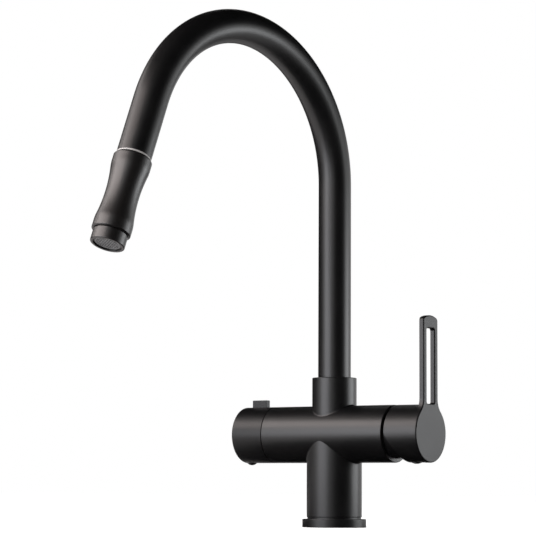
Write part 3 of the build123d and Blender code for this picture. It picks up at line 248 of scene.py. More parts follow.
# %% Shader formulas
class Socket:
    """A shader value: +, -, * and / add Math nodes, the first three also with a number on the left."""

    def __init__(self, tree, socket):
        self.tree = tree
        self.socket = socket

    def node(self, kind, settings=None, inputs=None, output=0):
        """Adds a node of any kind: its settings first, then its sockets' values or links."""
        made = self.tree.nodes.new(kind)
        for name, value in (settings or {}).items():
            setattr(made, name, value)
        for name, value in (inputs or {}).items():
            if isinstance(value, Socket):
                self.tree.links.new(value.socket, made.inputs[name])
            else:
                made.inputs[name].default_value = value
        return Socket(self.tree, made.outputs[output])

    def math(self, operation, first, second=0.0):
        """One Math node."""
        return self.node("ShaderNodeMath", {"operation": operation}, {0: first, 1: second})

    def __add__(self, other):
        return self.math("ADD", self, other)

    def __sub__(self, other):
        return self.math("SUBTRACT", self, other)

    def __mul__(self, other):
        return self.math("MULTIPLY", self, other)

    def __truediv__(self, other):
        return self.math("DIVIDE", self, other)

    def __rsub__(self, other):
        return self.math("SUBTRACT", other, self)

    __radd__ = __add__
    __rmul__ = __mul__

    def larger(self, other):
        """The larger of two values."""
        return self.math("MAXIMUM", self, other)

    def whole(self):
        """The whole number below this value."""
        return self.math("FLOOR", self)

    def fraction(self):
        """What is left of this value above its whole number."""
        return self.math("FRACT", self)

    def step(self, low, high):
        """A smooth step from 0 at low to 1 at high."""
        settings = {"interpolation_type": "SMOOTHSTEP"}
        return self.node("ShaderNodeMapRange", settings, {"Value": self, "From Min": low, "From Max": high})

    def noise(self, scale, detail=2.0):
        """Noise on this vector, from 0 to 1."""
        inputs = {"Vector": self, "Scale": scale, "Detail": detail}
        return self.node("ShaderNodeTexNoise", {}, inputs)

    def uneven(self, middle, spread):
        """This noise round a middle value: half the spread less up to half the spread more."""
        return middle + (self - 0.5) * spread

    def stretched(self, scale):
        """This vector, each axis times its own factor."""
        inputs = {"Vector": self, "Scale": scale}
        return self.node("ShaderNodeMapping", {}, inputs)

    def part(self, axis):
        """One component of this vector."""
        return self.node("ShaderNodeSeparateXYZ", {}, {0: self}, "XYZ".index(axis))

    def tint(self, low, high):
        """A colour between two colours, at this factor."""
        inputs = {0: self, 6: (*low, 1.0), 7: (*high, 1.0)}
        return self.node("ShaderNodeMix", {"data_type": "RGBA"}, inputs, 2)

    def bump(self, distance, strength):
        """A normal bent by this height, which is in units of distance."""
        inputs = {"Height": self, "Distance": distance, "Strength": strength}
        return self.node("ShaderNodeBump", {}, inputs)


class Material:
    """A material with one Principled shader, to be filled in through its named sockets."""

    def __init__(self, name):
        self.material = bpy.data.materials.new(name)
        self.material.use_nodes = True
        self.tree = self.material.node_tree
        self.shader = self.tree.nodes["Principled BSDF"]
        place = self.tree.nodes.new("ShaderNodeTexCoord")
        self.place = Socket(self.tree, place.outputs["Object"])
        self.uv = Socket(self.tree, place.outputs["UV"])

    def set(self, **sockets):
        """Fills sockets named in lower case with underscores, such as base_color."""
        for name, value in sockets.items():
            words = [w if w == "IOR" else w.capitalize() for w in name.split("_")]
            socket = self.shader.inputs[" ".join(words)]
            if isinstance(value, Socket):
                self.tree.links.new(value.socket, socket)
            else:
                socket.default_value = value
        return self.material


# %% [markdown]
# The visible metal is black all over: a matt film laid on polished brass and zinc. Its grain is too
# fine to see one by one, but it breaks up a highlight, so a fine bump and a faint unevenness of gloss
# do more than the colour does. The film could be a black metal, but it reflects little straight on
# and more at a grazing angle, as a dielectric does, so it is one. The spray's film is browner and
# glossier than the body's, and the lever's and the knob's mirror a little less. The lever's turned
# hub and its edges shine more than its flat face, so they get a coat, all but the last millimetre.

# %% Black film
FILM_DARK = (0.0034, 0.0034, 0.0037)
FILM_LIGHT = (0.0052, 0.0051, 0.0053)
SPRAY_DARK = (0.0044, 0.0039, 0.0037)
SPRAY_LIGHT = (0.0064, 0.0056, 0.0052)
GRAIN_SCALE = 2600.0
CLOUD_SCALE = 45.0
GRAIN_HEIGHT = 0.004 * MM
GRAIN_STRENGTH = 0.5
GRAIN_GLOSS = 0.06
CLOUD_GLOSS = 0.05
CLOUD_EDGES = (0.3, 0.7)
FACE_ROUNDING = 1.0 * MM
COAT_END_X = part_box("lever_handle")[1][0] - FACE_ROUNDING
COAT = 0.42
COAT_ROUGHNESS = 0.37
COAT_EDGE = 0.4 * MM


def black_film(name, roughness, gloss, dark, light, coated_to=None):
    """Fine grain in bump and gloss, a slow cloud in the colour, and a coat where x < coated_to."""
    film = Material(name)
    grain = film.place.noise(GRAIN_SCALE, detail=1.0)
    cloud = film.place.noise(CLOUD_SCALE, detail=3.0)
    if coated_to is not None:
        bare = film.place.part("X").step(coated_to - COAT_EDGE, coated_to)
        film.set(coat_weight=(1.0 - bare) * COAT, coat_roughness=COAT_ROUGHNESS)
    return film.set(
        base_color=cloud.step(*CLOUD_EDGES).tint(dark, light),
        roughness=cloud.uneven(grain.uneven(roughness, GRAIN_GLOSS), CLOUD_GLOSS),
        normal=grain.bump(GRAIN_HEIGHT, GRAIN_STRENGTH),
        specular_IOR_level=gloss,
    )


BLACK_METAL = black_film("black_metal", 0.35, 0.52, FILM_DARK, FILM_LIGHT)
BLACK_LEVER = black_film("black_lever", 0.40, 0.31, FILM_DARK, FILM_LIGHT, COAT_END_X)
BLACK_KNOB = black_film("black_knob", 0.35, 0.34, FILM_DARK, FILM_LIGHT)
BLACK_SPRAY = black_film("black_spray", 0.37, 0.75, SPRAY_DARK, SPRAY_LIGHT)

# %% [markdown]
# The rest is seen through gaps, from below or when the spray is drawn out: plastics, rubber, brass,
# copper, stainless steel and ceramic. Each still gets its own surface: moulded plastic has a soft
# unevenness, turned brass has fine rings across its axis, drawn copper has lines along it. The metals
# and the white plastic are darker than in life, since the light is set for a black mixer.

# %% Other finishes
MOTTLE_GLOSS = 0.12
MOTTLE_STRENGTH = 0.5
MARK_GLOSS = 0.16
MARK_HEIGHT = 0.006 * MM
MARK_STRENGTH = 0.4


def moulded(name, dark, light, roughness, grain=900.0, height=0.01 * MM):
    """Moulded plastic or rubber: a faint mottle and a soft bump."""
    made = Material(name)
    mottle = made.place.noise(grain)
    return made.set(
        base_color=mottle.tint(dark, light),
        roughness=mottle.uneven(roughness, MOTTLE_GLOSS),
        normal=mottle.bump(height, MOTTLE_STRENGTH),
    )


def metal(name, dark, light, roughness, lines):
    """Bare metal with tool marks: noise that is stretched by its three scales."""
    made = Material(name)
    marks = made.place.stretched(lines).noise(scale=1.0)
    return made.set(
        base_color=marks.tint(dark, light),
        roughness=marks.uneven(roughness, MARK_GLOSS),
        metallic=1.0,
        normal=marks.bump(MARK_HEIGHT, MARK_STRENGTH),
    )


# %% [markdown]
# The hose's braid is the one pattern that has to run along a bent piece, so it is worked out on the
# UV map and not on the object's own coordinates. It could be an image of strands, but as a formula it
# has no seam: a whole number of strands goes round the hose.

# %% Braid
HOSE_R = 6.5 * MM
HOSE_COLUMNS = 72
BRAID_COUNT = 24
BRAID_PITCH = 2 * HOSE_COLUMNS * HOSE_R * math.sin(math.pi / HOSE_COLUMNS) / BRAID_COUNT
# painted shade: the darker braid colour stands for the shade in the grooves between strands
BRAID_GROOVE_SHADE = (0.008, 0.008, 0.009)
BRAID_LIGHT = (0.080, 0.080, 0.084)
BRAID_ROUGHNESS = 0.46
BRAID_HEIGHT = 0.25 * MM
BRAID_STRENGTH = 0.8
STRAND_SHADE_END = 0.7
THREAD_SCALE = 9000.0
THREAD_GLOSS = 0.2
THREAD_SHARE = 0.15


def strand(place):
    """A strand's height across its width: 1 - (2 * fraction - 1) squared, highest in the middle."""
    across = place.fraction() * 2.0 - 1.0
    return 1.0 - across * across


def braid():
    """A braid of flat nylon strands on the hose: two families of strands cross at 45 degrees.

    With a = (u + v) / pitch and b = (u - v) / pitch, the parity of floor(a) + floor(b) says which
    family lies on top.
    """
    made = Material("hose_braid")
    a = (made.uv.part("X") + made.uv.part("Y")) / BRAID_PITCH
    b = (made.uv.part("X") - made.uv.part("Y")) / BRAID_PITCH
    over = ((a.whole() + b.whole()) / 2.0).fraction() * 2.0
    height = over * strand(a) + (1.0 - over) * strand(b)
    threads = made.uv.noise(THREAD_SCALE, detail=1.0)
    return made.set(
        # painted shade: the colour darkens from each strand's middle towards its edges and into the gaps
        # between strands; the lighter colour is the strands' own
        base_color=height.step(0.0, STRAND_SHADE_END).tint(BRAID_GROOVE_SHADE, BRAID_LIGHT),
        roughness=threads.uneven(BRAID_ROUGHNESS, THREAD_GLOSS),
        normal=(height + threads * THREAD_SHARE).bump(BRAID_HEIGHT, BRAID_STRENGTH),
    )


# %% [markdown]
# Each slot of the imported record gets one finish. A row gives the darkest and the lightest colour of
# its pattern and its roughness, and then the scales of its grain or of its lines.

# %% Finishes by slot
FINISHES = {
    "black_finish": BLACK_METAL,
    "black_plastic": BLACK_SPRAY,
    "pale_plastic": moulded("pale_plastic", (0.37, 0.36, 0.35), (0.45, 0.44, 0.43), 0.36),
    "white_plastic": moulded("white_plastic", (0.50, 0.50, 0.485), (0.58, 0.58, 0.565), 0.42),
    "mesh_plastic": moulded("mesh_plastic", (0.105, 0.108, 0.110), (0.135, 0.138, 0.140), 0.42),
    "ceramic": moulded("ceramic", (0.80, 0.79, 0.75), (0.86, 0.85, 0.82), 0.16, 400.0, 0.002 * MM),
    "brass": metal("brass", (0.38, 0.27, 0.11), (0.50, 0.37, 0.18), 0.44, (4000.0, 300.0, 300.0)),
    "copper": metal("copper", (0.66, 0.32, 0.19), (0.80, 0.46, 0.32), 0.28, (2500.0, 2500.0, 60.0)),
    "steel": metal("steel", (0.20, 0.20, 0.198), (0.28, 0.28, 0.277), 0.48, (3000.0, 3000.0, 300.0)),
    "rubber": moulded("rubber", (0.012, 0.012, 0.012), (0.024, 0.024, 0.024), 0.62),
    "hose_braid": braid(),
}
OWN_BLACK = {
    "lever_handle": BLACK_LEVER,
    "valve_knob": BLACK_KNOB,
}


def dress_nodes():
    """Each CAD node takes the finish of its slot, but two have a black of their own."""
    for row in frame["record"]["subparts"]:
        finish = OWN_BLACK.get(row["node"], FINISHES[row["material_slot"]])
        nodes[row["node"]].material_slots[0].material = finish
    print(len(FINISHES), "finishes on", len(nodes), "nodes")


dress_nodes()

# %% [markdown]
# The spout is one bent tube of 28 mm: a straight riser, a wide bend and a short straight run to the
# mouth. It could be a curve with a bevel, but then its ends, its wall and everything that follows the
# same line, such as the hose and the spray, would each need their own fitting. So the line itself is
# a formula: for a distance s from the mouth it gives a point and the directions across and along.

# %% The spout's line
TUBE_R = 14.0 * MM
TUBE_BORE_R = 12.8 * MM
TUBE_FOOT_Z = 117.5 * MM
RISER_TOP_Z = 293.0 * MM
BEND_R = 119.0 * MM
BEND_ANGLE = math.radians(158.6)
MOUTH_RUN = 50.5 * MM
REST_TURN = math.radians(-5.7)
BEND_LENGTH = BEND_R * BEND_ANGLE
TUBE_COLUMNS = 112
LONGEST_STEP = 2.5 * MM
TUBE_FOOT_S = -(RISER_TOP_Z - TUBE_FOOT_Z + BEND_LENGTH + MOUTH_RUN)
AHEAD = np.array([math.sin(REST_TURN), -math.cos(REST_TURN), 0.0])
UPWARD = np.array([0.0, 0.0, 1.0])
SIDEWAYS = np.cross(UPWARD, AHEAD)


def spout_line(s):
    """Points, outward and forward directions at distances s from the mouth (minus is inside).

    The angle turned is t = (s + bend + run) / radius, held between 0 and the bend's angle. The point
    is the bend's point at t plus the straight distance before or after the bend, along its direction.
    """
    s = np.asarray(s, float)[:, None]
    t = np.clip((s + MOUTH_RUN + BEND_LENGTH) / BEND_R, 0.0, BEND_ANGLE)
    straight = s + MOUTH_RUN + BEND_LENGTH - BEND_R * t
    forward = AHEAD * np.sin(t) + UPWARD * np.cos(t)
    outward = UPWARD * np.sin(t) - AHEAD * np.cos(t)
    centre = AHEAD * BEND_R * (1 - np.cos(t)) + UPWARD * (RISER_TOP_Z + BEND_R * np.sin(t))
    return centre + forward * straight, outward, forward


def carried(name, outline, columns, along=None):
    """A ring carried along the spout's line: point = line(s) + r (cos a outward + sin a sideways)."""
    centre, outward, _ = spout_line(outline[:, 1])
    angle = np.linspace(0, 2 * np.pi, columns, endpoint=False)[None, :, None]
    spoke = np.cos(angle) * outward[:, None] + np.sin(angle) * SIDEWAYS
    return ring_mesh(name, centre[:, None] + outline[:, 0, None, None] * spoke, along)


def fine_steps(outline):
    """The same closed outline with its long sides cut into short ones, so that they can bend."""
    after = np.roll(outline, -1, axis=0)
    pieces = []
    for start, end in zip(outline, after):
        count = max(1, int(np.ceil(np.linalg.norm(end - start) / LONGEST_STEP)))
        pieces.append(start + np.linspace(0, 1, count, endpoint=False)[:, None] * (end - start))
    return np.concatenate(pieces)


def bent_tube():
    """The tube's wall, from its foot in the collar to the mouth, carried along the line."""
    corners = [
        (TUBE_BORE_R, TUBE_FOOT_S, 0.3 * MM),
        (TUBE_R, TUBE_FOOT_S, 0.3 * MM),
        (TUBE_R, 0.0, 0.45 * MM),
        (TUBE_BORE_R, 0.0, 0.3 * MM),
    ]
    return carried("bent_tube", fine_steps(rounded(corners)), TUBE_COLUMNS)


fit(bent_tube(), "spout", "black_finish", "spout_tube")

# %% [markdown]
# A pale ring shows between the tube and the spray: the rim of the plastic sleeve that the spray docks
# into. The sleeve could stay as it is in the CAD model, but its rim is what catches the light there,
# so it is turned again with a softly rounded rim.

# %% Docking sleeve and its pale ring
SLEEVE_R = 12.75 * MM
SLEEVE_BORE_R = 11.7 * MM
SLEEVE_BACK_S = -22.0 * MM
RIM_S = 1.3 * MM


def sleeve():
    """The sleeve's wall in the mouth and its wider rim before it, carried along the line."""
    corners = [
        (SLEEVE_BORE_R, SLEEVE_BACK_S, 0.25 * MM),
        (SLEEVE_R, SLEEVE_BACK_S, 0.4 * MM),
        (SLEEVE_R, 0.0, SHARP),
        (TUBE_R, 0.0, SHARP),
        (TUBE_R, RIM_S, 0.4 * MM),
        (SLEEVE_BORE_R, RIM_S, 0.4 * MM),
    ]
    return carried("docking_ring", rounded(corners), TUBE_COLUMNS)


fit(sleeve(), "spout", "pale_plastic", "docking_sleeve")

# %% [markdown]
# The spray's shell is drawn in at the waist, where the hand holds it. One arc makes the waist and two
# smaller ones lead out of it to the straight ends. Its outline could be drawn by hand, but worked out
# from the three arcs it stays even, and a soft highlight on a waist shows any bump at once.

# %% Spray shell
SHELL_TOP_S = 1.5 * MM
SHELL_TOP_R = 14.2 * MM
SHELL_SHOULDER_S = 3.0 * MM
SHELL_R = 15.5 * MM
WAIST_S = 34.4 * MM
WAIST_HALF = 23.0 * MM
WAIST_R = 13.37 * MM
WAIST_BLEND = 30.0 * MM
SHELL_LIP_S = 66.2 * MM
SHELL_END_S = 67.0 * MM
SHELL_LIP_R = 14.7 * MM
SHELL_BORE_R = 12.0 * MM
SHELL_HOLE_R = 11.35 * MM
SHELL_WALL_S = 6.0 * MM
SIDE_MARGIN = 1.0 * MM
SIDE_ROWS = 96
SPRAY_COLUMNS = 128


def waist(s):
    """The shell's radius: an arc through the waist's middle and ends, with blends that touch it.

    With x the distance from the waist's middle, the arc is WAIST_R + R - sqrt(R^2 - x^2), and the
    blend is SHELL_R - B + sqrt(B^2 - (reach - x)^2), which meets the straight side at x = reach. Both
    have the same slope at x = touch, where the one takes over from the other.
    """
    depth = SHELL_R - WAIST_R
    arc_r = (WAIST_HALF**2 + depth**2) / (2 * depth)
    x = np.abs(s - WAIST_S)
    centre_r = WAIST_R + arc_r
    reach = math.sqrt((arc_r + WAIST_BLEND) ** 2 - (centre_r - SHELL_R + WAIST_BLEND) ** 2)
    touch = reach * arc_r / (arc_r + WAIST_BLEND)
    inner = centre_r - np.sqrt(np.maximum(arc_r**2 - x**2, 0))
    outer = SHELL_R - WAIST_BLEND + np.sqrt(np.maximum(WAIST_BLEND**2 - (reach - x) ** 2, 0))
    return np.where(x < touch, inner, np.where(x < reach, outer, SHELL_R))


def shell():
    """The outside from the shoulder along the waist to the lip, then back up the bore."""
    s = np.linspace(SHELL_SHOULDER_S + SIDE_MARGIN, SHELL_LIP_S - SIDE_MARGIN, SIDE_ROWS)
    corners = [
        (SHELL_HOLE_R, SHELL_TOP_S, 0.2 * MM),
        (SHELL_TOP_R, SHELL_TOP_S, 0.25 * MM),
        (SHELL_R, SHELL_SHOULDER_S, 0.7 * MM),
        *zip(waist(s), s, [KEPT] * SIDE_ROWS),
        (SHELL_R, SHELL_LIP_S, 0.4 * MM),
        (SHELL_LIP_R, SHELL_END_S, 0.25 * MM),
        (SHELL_BORE_R, SHELL_END_S, 0.3 * MM),
        (SHELL_BORE_R, SHELL_WALL_S, 0.2 * MM),
        (SHELL_HOLE_R, SHELL_WALL_S, 0.2 * MM),
    ]
    return carried("waisted_shell", rounded(corners), SPRAY_COLUMNS)


fit(shell(), "spray", "black_plastic", "spray_shell")

# %% [markdown]
# The aerator closes the spray: a plain ring with a rounded edge. It has a neck that screws into the
# spray, and a step inside that the honeycomb rests on, so its outline has eight corners.

# %% Aerator ring
THREAD_R = 10.95 * MM
THREAD_TOP_S = 59.5 * MM
RING_TOP_S = 67.3 * MM
RING_R = 13.75 * MM
RING_END_S = 77.1 * MM
RING_BORE_R = 9.5 * MM
FACE_BORE_R = 11.4 * MM
FACE_SEAT_S = 74.5 * MM


def aerator_ring():
    """The neck, the ring and the step for the face, carried along the line."""
    corners = [
        (RING_BORE_R, THREAD_TOP_S, 0.2 * MM),
        (THREAD_R, THREAD_TOP_S, 0.3 * MM),
        (THREAD_R, RING_TOP_S, SHARP),
        (RING_R, RING_TOP_S, 0.3 * MM),
        (RING_R, RING_END_S, 0.7 * MM),
        (FACE_BORE_R, RING_END_S, 0.35 * MM),
        (FACE_BORE_R, FACE_SEAT_S, SHARP),
        (RING_BORE_R, FACE_SEAT_S, 0.2 * MM),
    ]
    return carried("aerator_ring", rounded(corners), SPRAY_COLUMNS)


fit(aerator_ring(), "spray", "black_plastic", "aerator_housing")

# %% [markdown]
# The water leaves by a fine honeycomb. It could be a flat disc with a pattern in its colour, but looked
# at along the jet the cells have depth, so each cell is a short six-sided tube. All of them are worked
# out in one array: a lattice of centres, plus the same six corners for each.

# %% Honeycomb face
FACE_R = 11.35 * MM
FACE_PLATE_R = 10.3 * MM
FACE_RIM_R = 8.8 * MM
FACE_TOP_S = 75.2 * MM
FACE_END_S = 76.0 * MM
FACE_COLUMNS = 96
CELL_PITCH = 2.1 * MM
CELL_WALL = 0.42 * MM
CELL_REACH = 9.0 * MM
CELL_INSET = 0.1 * MM
CELL_DEPTH = 0.7 * MM
CELL_FRONT_S = FACE_END_S - CELL_INSET
CELL_BACK_S = CELL_FRONT_S - CELL_DEPTH
LATTICE = np.arange(-9, 10)
SIDES = 6


def cell_centres():
    """Points (pitch (i + j / 2), pitch j sqrt(3) / 2) of a triangular lattice, inside a circle."""
    i, j = np.meshgrid(LATTICE, LATTICE, indexing="ij")
    across = CELL_PITCH * (i + j / 2)
    up = CELL_PITCH * j * math.sqrt(3) / 2
    inside = np.hypot(across, up) < CELL_REACH
    return np.stack([across[inside], up[inside]], -1)


def honeycomb():
    """Each cell is a tube between four rings of six corners: outer and inner, front and back.

    A corner is centre + r (cos a, sin a) with a = 30 degrees + 60 k, where r is the pitch over the
    square root of 3 for the outer hexagon, and less by the wall for the inner one.
    """
    outer = CELL_PITCH / math.sqrt(3)
    inner = outer - CELL_WALL
    rings = [(outer, CELL_FRONT_S), (inner, CELL_FRONT_S), (inner, CELL_BACK_S), (outer, CELL_BACK_S)]
    angle = math.radians(30) + np.arange(SIDES) * math.radians(60)
    corner = np.stack([np.cos(angle), np.sin(angle)], -1)
    centres = cell_centres()
    middle, outward, forward = (row[0] for row in spout_line([0.0]))
    points = []
    for radius, s in rings:
        flat = centres[:, None] + radius * corner
        points.append(middle + flat[..., :1] * outward + flat[..., 1:] * SIDEWAYS + forward * s)
    counts = (np.arange(len(centres)), np.arange(len(rings)), np.arange(SIDES))
    cell, ring, side = np.meshgrid(*counts, indexing="ij")
    around = [(ring, side), (ring, side + 1), (ring + 1, side + 1), (ring + 1, side)]
    quads = [(cell * len(rings) + r % len(rings)) * SIDES + k % SIDES for r, k in around]
    quads = np.stack(quads, -1).reshape(-1, 4)
    no_uv = np.zeros((len(quads), 4, 2))
    piece = quad_mesh("honeycomb", np.stack(points, 1).reshape(-1, 3), quads, no_uv)
    piece.data.shade_flat()
    return piece


def face_ring(name, inner, outer):
    """A flat ring as thick as the honeycomb's disc, with its front edges rounded."""
    corners = [
        (inner, FACE_TOP_S, 0.1 * MM),
        (outer, FACE_TOP_S, 0.1 * MM),
        (outer, FACE_END_S, 0.2 * MM),
        (inner, FACE_END_S, 0.25 * MM),
    ]
    return carried(name, rounded(corners), FACE_COLUMNS)


fit(honeycomb(), "spray", "mesh_plastic", "aerator_mesh")
fit(face_ring("honeycomb_rim", FACE_RIM_R, FACE_PLATE_R), "spray", "mesh_plastic")
fit(face_ring("honeycomb_seat", FACE_PLATE_R, FACE_R), "spray", "black_plastic")

# %% [markdown]
# The hose runs inside the spout, out of sight, until the spray is drawn out. Then a stretch of it
# spans the gap. The hose itself stays in the tube here, so a second piece stands for that stretch:
# its rings are packed closely in the tube at rest. Its braid is spaced for the drawn-out state, where
# it shows.

# %% Braided hose and its stretch
HOSE_FOOT_Z = 19.5 * MM
HOSE_FOOT_S = TUBE_FOOT_S - TUBE_FOOT_Z + HOSE_FOOT_Z
HOSE_END_S = -46.0 * MM
HOSE_BORE_R = 4.0 * MM
STRETCH_START_S = -50.0 * MM
STRETCH_MOVES_S = -49.0 * MM
STRETCH_HELD_S = -43.5 * MM
STRETCH_END_S = -27.0 * MM
STRETCH_R = 6.47 * MM
STRETCH_ROWS = 160
PULL = 0.20


def hose():
    """The hose's wall from the column's foot to the hose end, carried along the line."""
    outline = [
        (HOSE_BORE_R, HOSE_FOOT_S),
        (HOSE_R, HOSE_FOOT_S),
        (HOSE_R, HOSE_END_S),
        (HOSE_BORE_R, HOSE_END_S),
    ]
    return carried("braided_hose", fine_steps(np.array(outline)), HOSE_COLUMNS)


def stretch():
    """A tube whose v is its length when drawn out: s plus the pull times a smooth blend.

    The blend is 3 t^2 - 2 t^3, for t from 0 at the start of the moving part to 1 at its end.
    """
    s = np.concatenate([
        [STRETCH_START_S],
        np.linspace(STRETCH_MOVES_S, STRETCH_HELD_S, STRETCH_ROWS),
        [STRETCH_END_S],
    ])
    t = np.clip((s - STRETCH_MOVES_S) / (STRETCH_HELD_S - STRETCH_MOVES_S), 0, 1)
    drawn = s + PULL * t * t * (3 - 2 * t)
    outside = np.stack([np.full(len(s), STRETCH_R), s], -1)
    inside = np.array([[HOSE_BORE_R, STRETCH_END_S], [HOSE_BORE_R, STRETCH_START_S]])
    outline = np.concatenate([outside, inside])
    v = np.concatenate([drawn, drawn[-1:], drawn[:1], drawn[:1]]) - STRETCH_START_S
    return carried("hose_stretch", outline, HOSE_COLUMNS, v)


fit(hose(), "spout", "hose_braid", "spray_hose")
drawn_hose = stretch()
dress(drawn_hose, "hose_braid")
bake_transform(drawn_hose)

# %% [markdown]
# A check valve sits in the hose's lower end: its poppet lifts against a small coil spring. A rigid
# spring would run through the lifted poppet. The wire is a thin tube that follows a helix.

# %% Check valve spring
COIL_R = 2.7 * MM
COIL_WIRE_R = 0.3 * MM
COIL_HOLE_R = 0.02 * MM
COIL_TURNS = 4
COIL_STEPS = 40
COIL_COLUMNS = 10
COIL_GAP = 0.02 * MM


def coil(low, high):
    """A wire on the line (R cos a, R sin a, low + rise a), with its round section across that line.

    The section is w (cos b outward + sin b up), where outward is (cos a, sin a, 0) and up is square to
    it and to the line. The wire has a hair-thin hole, so that its skin closes on itself at both ends.
    """
    a = np.linspace(0, 2 * np.pi * COIL_TURNS, COIL_TURNS * COIL_STEPS + 1)[:, None]
    rise = (high - low) / a[-1]
    centre = np.hstack([COIL_R * np.cos(a), COIL_R * np.sin(a), low + rise * a])
    along = np.hstack([-COIL_R * np.sin(a), COIL_R * np.cos(a), rise + 0 * a])
    outward = np.hstack([np.cos(a), np.sin(a), 0 * a])
    up = np.cross(outward, along)
    up /= np.linalg.norm(up, axis=1, keepdims=True)
    b = np.linspace(0, 2 * np.pi, COIL_COLUMNS, endpoint=False)[:, None]
    section = np.cos(b) * outward[:, None] + np.sin(b) * up[:, None]
    skin = centre[:, None] + COIL_WIRE_R * section
    hole = centre[:, None] + COIL_HOLE_R * section
    return ring_mesh("valve_coil", np.concatenate([skin, hole[::-1]]))


coil_low, coil_high = (corner[2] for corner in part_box("check_valve_spring"))
coil_room = COIL_WIRE_R + COIL_GAP
spring = coil(coil_low + coil_room, coil_high - coil_room)
dress(spring, "steel", "check_valve_spring")
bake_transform(spring)

# %% [markdown]
# The flange under the column is a loose ring. Its upper edge catches the light as a thin line, and
# under it a narrow shadow parts it from the deck, so both edges are rounded.

# %% Base flange
FLANGE_BORE_R = 22.45 * MM
FLANGE_R = 27.2 * MM
FLANGE_H = 7.1 * MM
GASKET_BORE_R = FLANGE_R - 3.6 * MM
GASKET_R = FLANGE_R - 1.4 * MM
GASKET_T = 1.6 * MM
FLANGE_COLUMNS = 160


def flange():
    """A ring round the column with a groove for the gasket in its underside, turned round Z."""
    corners = [
        (FLANGE_BORE_R, 0.0, 0.3 * MM),
        (FLANGE_BORE_R, FLANGE_H, 0.4 * MM),
        (FLANGE_R, FLANGE_H, 0.55 * MM),
        (FLANGE_R, 0.0, 0.5 * MM),
        (GASKET_R, 0.0, 0.1 * MM),
        (GASKET_R, GASKET_T, 0.1 * MM),
        (GASKET_BORE_R, GASKET_T, 0.1 * MM),
        (GASKET_BORE_R, 0.0, 0.1 * MM),
    ]
    return turned("foot_flange", rounded(corners), FLANGE_COLUMNS)


fit(flange(), "body", "black_finish", "base_flange")

# %% [markdown]
# The studio is a plain white floor in a white surround. The surround is white only for what the eye
# and the mirrors see, and grey for the light it gives, so that it doesn't flatten the shapes.

# %% Floor and surround
WORLD_LEVEL = 0.35
FLOOR_SIZE = 12.0
FLOOR_GLOW = 0.70
FLOOR_WHITE = (0.92, 0.92, 0.92, 1.0)
FLOOR_ROUGHNESS = 0.9
DARK = (0.0, 0.0, 0.0)
WHITE = (1.0, 1.0, 1.0)


def make_world():
    """White for the camera, for mirrors and for glass; a plain grey light for the rest."""
    world = bpy.data.worlds.new("surround")
    world.use_nodes = True
    bpy.context.scene.world = world
    tree = world.node_tree
    tree.nodes.clear()
    rays = tree.nodes.new("ShaderNodeLightPath").outputs
    seen = Socket(tree, rays["Is Camera Ray"])
    mirrored = Socket(tree, rays["Is Glossy Ray"])
    through = Socket(tree, rays["Is Transmission Ray"])
    level = WORLD_LEVEL + seen.larger(mirrored).larger(through) * (1.0 - WORLD_LEVEL)
    shade = seen.node("ShaderNodeBackground", {}, {"Color": (*WHITE, 1.0), "Strength": level})
    output = tree.nodes.new("ShaderNodeOutputWorld")
    tree.links.new(shade.socket, output.inputs["Surface"])


def panel(name, width, height):
    """A flat rectangle that faces +Z, round the origin, as a stage piece without a finish yet."""
    mesh = bpy.data.meshes.new(name)
    w = width / 2
    h = height / 2
    mesh.from_pydata([(-w, -h, 0), (w, -h, 0), (w, h, 0), (-w, h, 0)], [], [(0, 1, 2, 3)])
    piece = bpy.data.objects.new(name, mesh)
    bpy.context.scene.collection.objects.link(piece)
    return piece


def make_floor():
    """A pale floor at the flange's underside. A little glow for the camera lifts it to white."""
    floor = panel("floor", FLOOR_SIZE, FLOOR_SIZE)
    paint = Material("floor_paint")
    seen = paint.place.node("ShaderNodeLightPath")
    paint.set(base_color=FLOOR_WHITE, roughness=FLOOR_ROUGHNESS, specular_IOR_level=0.0)
    paint.set(emission_color=seen.tint(DARK, WHITE), emission_strength=FLOOR_GLOW)
    floor.data.materials.append(paint.material)


make_world()
make_floor()

# %% [markdown]
# A black object on white loses its edges if it mirrors the white all round, so photographers set dark
# cards beside it. Here three soft boxes stand on the left and one behind on the right, and they draw
# the bright bands on the tubes. Five black cards, which only mirrors see, keep the rest black: one on
# each side, one above, one behind, and one on the floor for the cross body's underside. Each row gives
# an azimuth from the front and an elevation in degrees, then distance, width and height in metres. A
# lamp's row ends with its power in watts and its colour, and a card's with the point that it faces.

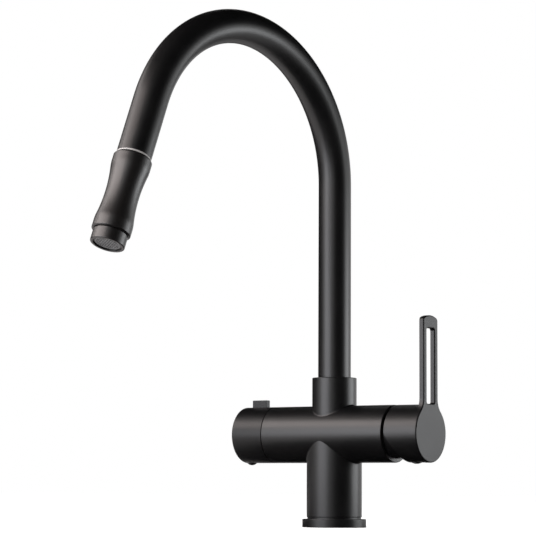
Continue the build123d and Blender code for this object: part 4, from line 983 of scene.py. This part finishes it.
# %% Soft boxes and black cards
MIDDLE = (0.0, 0.0, 0.15)
CARD_BLACK = (0.004, 0.004, 0.004, 1.0)
SOFT_BOXES = [
    ("box_left_high", -27.0, 33.0, 1.30, 1.35, 0.52, 10.5, (1.0, 0.89, 0.86)),
    ("box_left_low", -18.0, 4.0, 1.30, 1.00, 0.70, 9.0, (0.94, 0.945, 1.0)),
    ("box_far_left", -74.0, 34.0, 1.20, 0.50, 0.50, 1.6, (1.0, 0.93, 0.91)),
    ("box_right_back", 130.0, -1.0, 0.95, 0.60, 0.42, 3.5, (0.96, 0.98, 1.0)),
]
BLACK_CARDS = [
    ("card_right", 66.0, 0.0, 1.3, 2.0, 2.6, MIDDLE),
    ("card_left", -105.0, 0.0, 1.3, 2.6, 2.6, MIDDLE),
    ("card_top", 33.0, 88.0, 1.1, 2.4, 2.4, MIDDLE),
    ("card_back", 150.0, 50.0, 1.3, 2.4, 1.4, MIDDLE),
    ("card_below", 0.0, -90.0, 0.0, 1.35, 1.32, (0.525, -0.54, 0.0005)),
]


def aim(azimuth, elevation, distance, target):
    """A place at a distance from the target, and the axes that face it."""
    a = math.radians(azimuth)
    e = math.radians(elevation)
    outward = np.array([math.sin(a) * math.cos(e), -math.cos(a) * math.cos(e), math.sin(e)])
    right = unit(np.cross(UPWARD, outward))
    place = np.eye(4)
    place[:3, 0] = right
    place[:3, 1] = np.cross(outward, right)
    place[:3, 2] = outward
    place[:3, 3] = np.array(target) + outward * distance
    return Matrix(place.tolist())


def soft_box(name, azimuth, elevation, distance, width, height, power, colour):
    """A rectangular lamp that faces the mixer; its mirror image shows, the lamp itself doesn't."""
    data = bpy.data.lights.new(name, "AREA")
    data.shape = "RECTANGLE"
    data.size = width
    data.size_y = height
    data.energy = power
    data.color = colour
    lamp = bpy.data.objects.new(name, data)
    bpy.context.scene.collection.objects.link(lamp)
    lamp.matrix_world = aim(azimuth, elevation, distance, MIDDLE)
    lamp.visible_camera = False


def black_card(name, azimuth, elevation, distance, width, height, target):
    """A dark panel that only mirrors see."""
    card = panel(name, width, height)
    card.matrix_world = aim(azimuth, elevation, distance, target)
    card.visible_camera = False
    card.visible_diffuse = False
    card.visible_shadow = False
    paint = Material(name + "_paint")
    card.data.materials.append(paint.set(base_color=CARD_BLACK, roughness=1.0, specular_IOR_level=0.0))


for row in SOFT_BOXES:
    soft_box(*row)
for row in BLACK_CARDS:
    black_card(*row)
print(len(SOFT_BOXES), "soft boxes and", len(BLACK_CARDS), "black cards")

# %% [markdown]
# The last cell sets the colour view to Standard and updates the view layer.

# %% Finish
scene = bpy.context.scene
scene.view_settings.view_transform = "Standard"
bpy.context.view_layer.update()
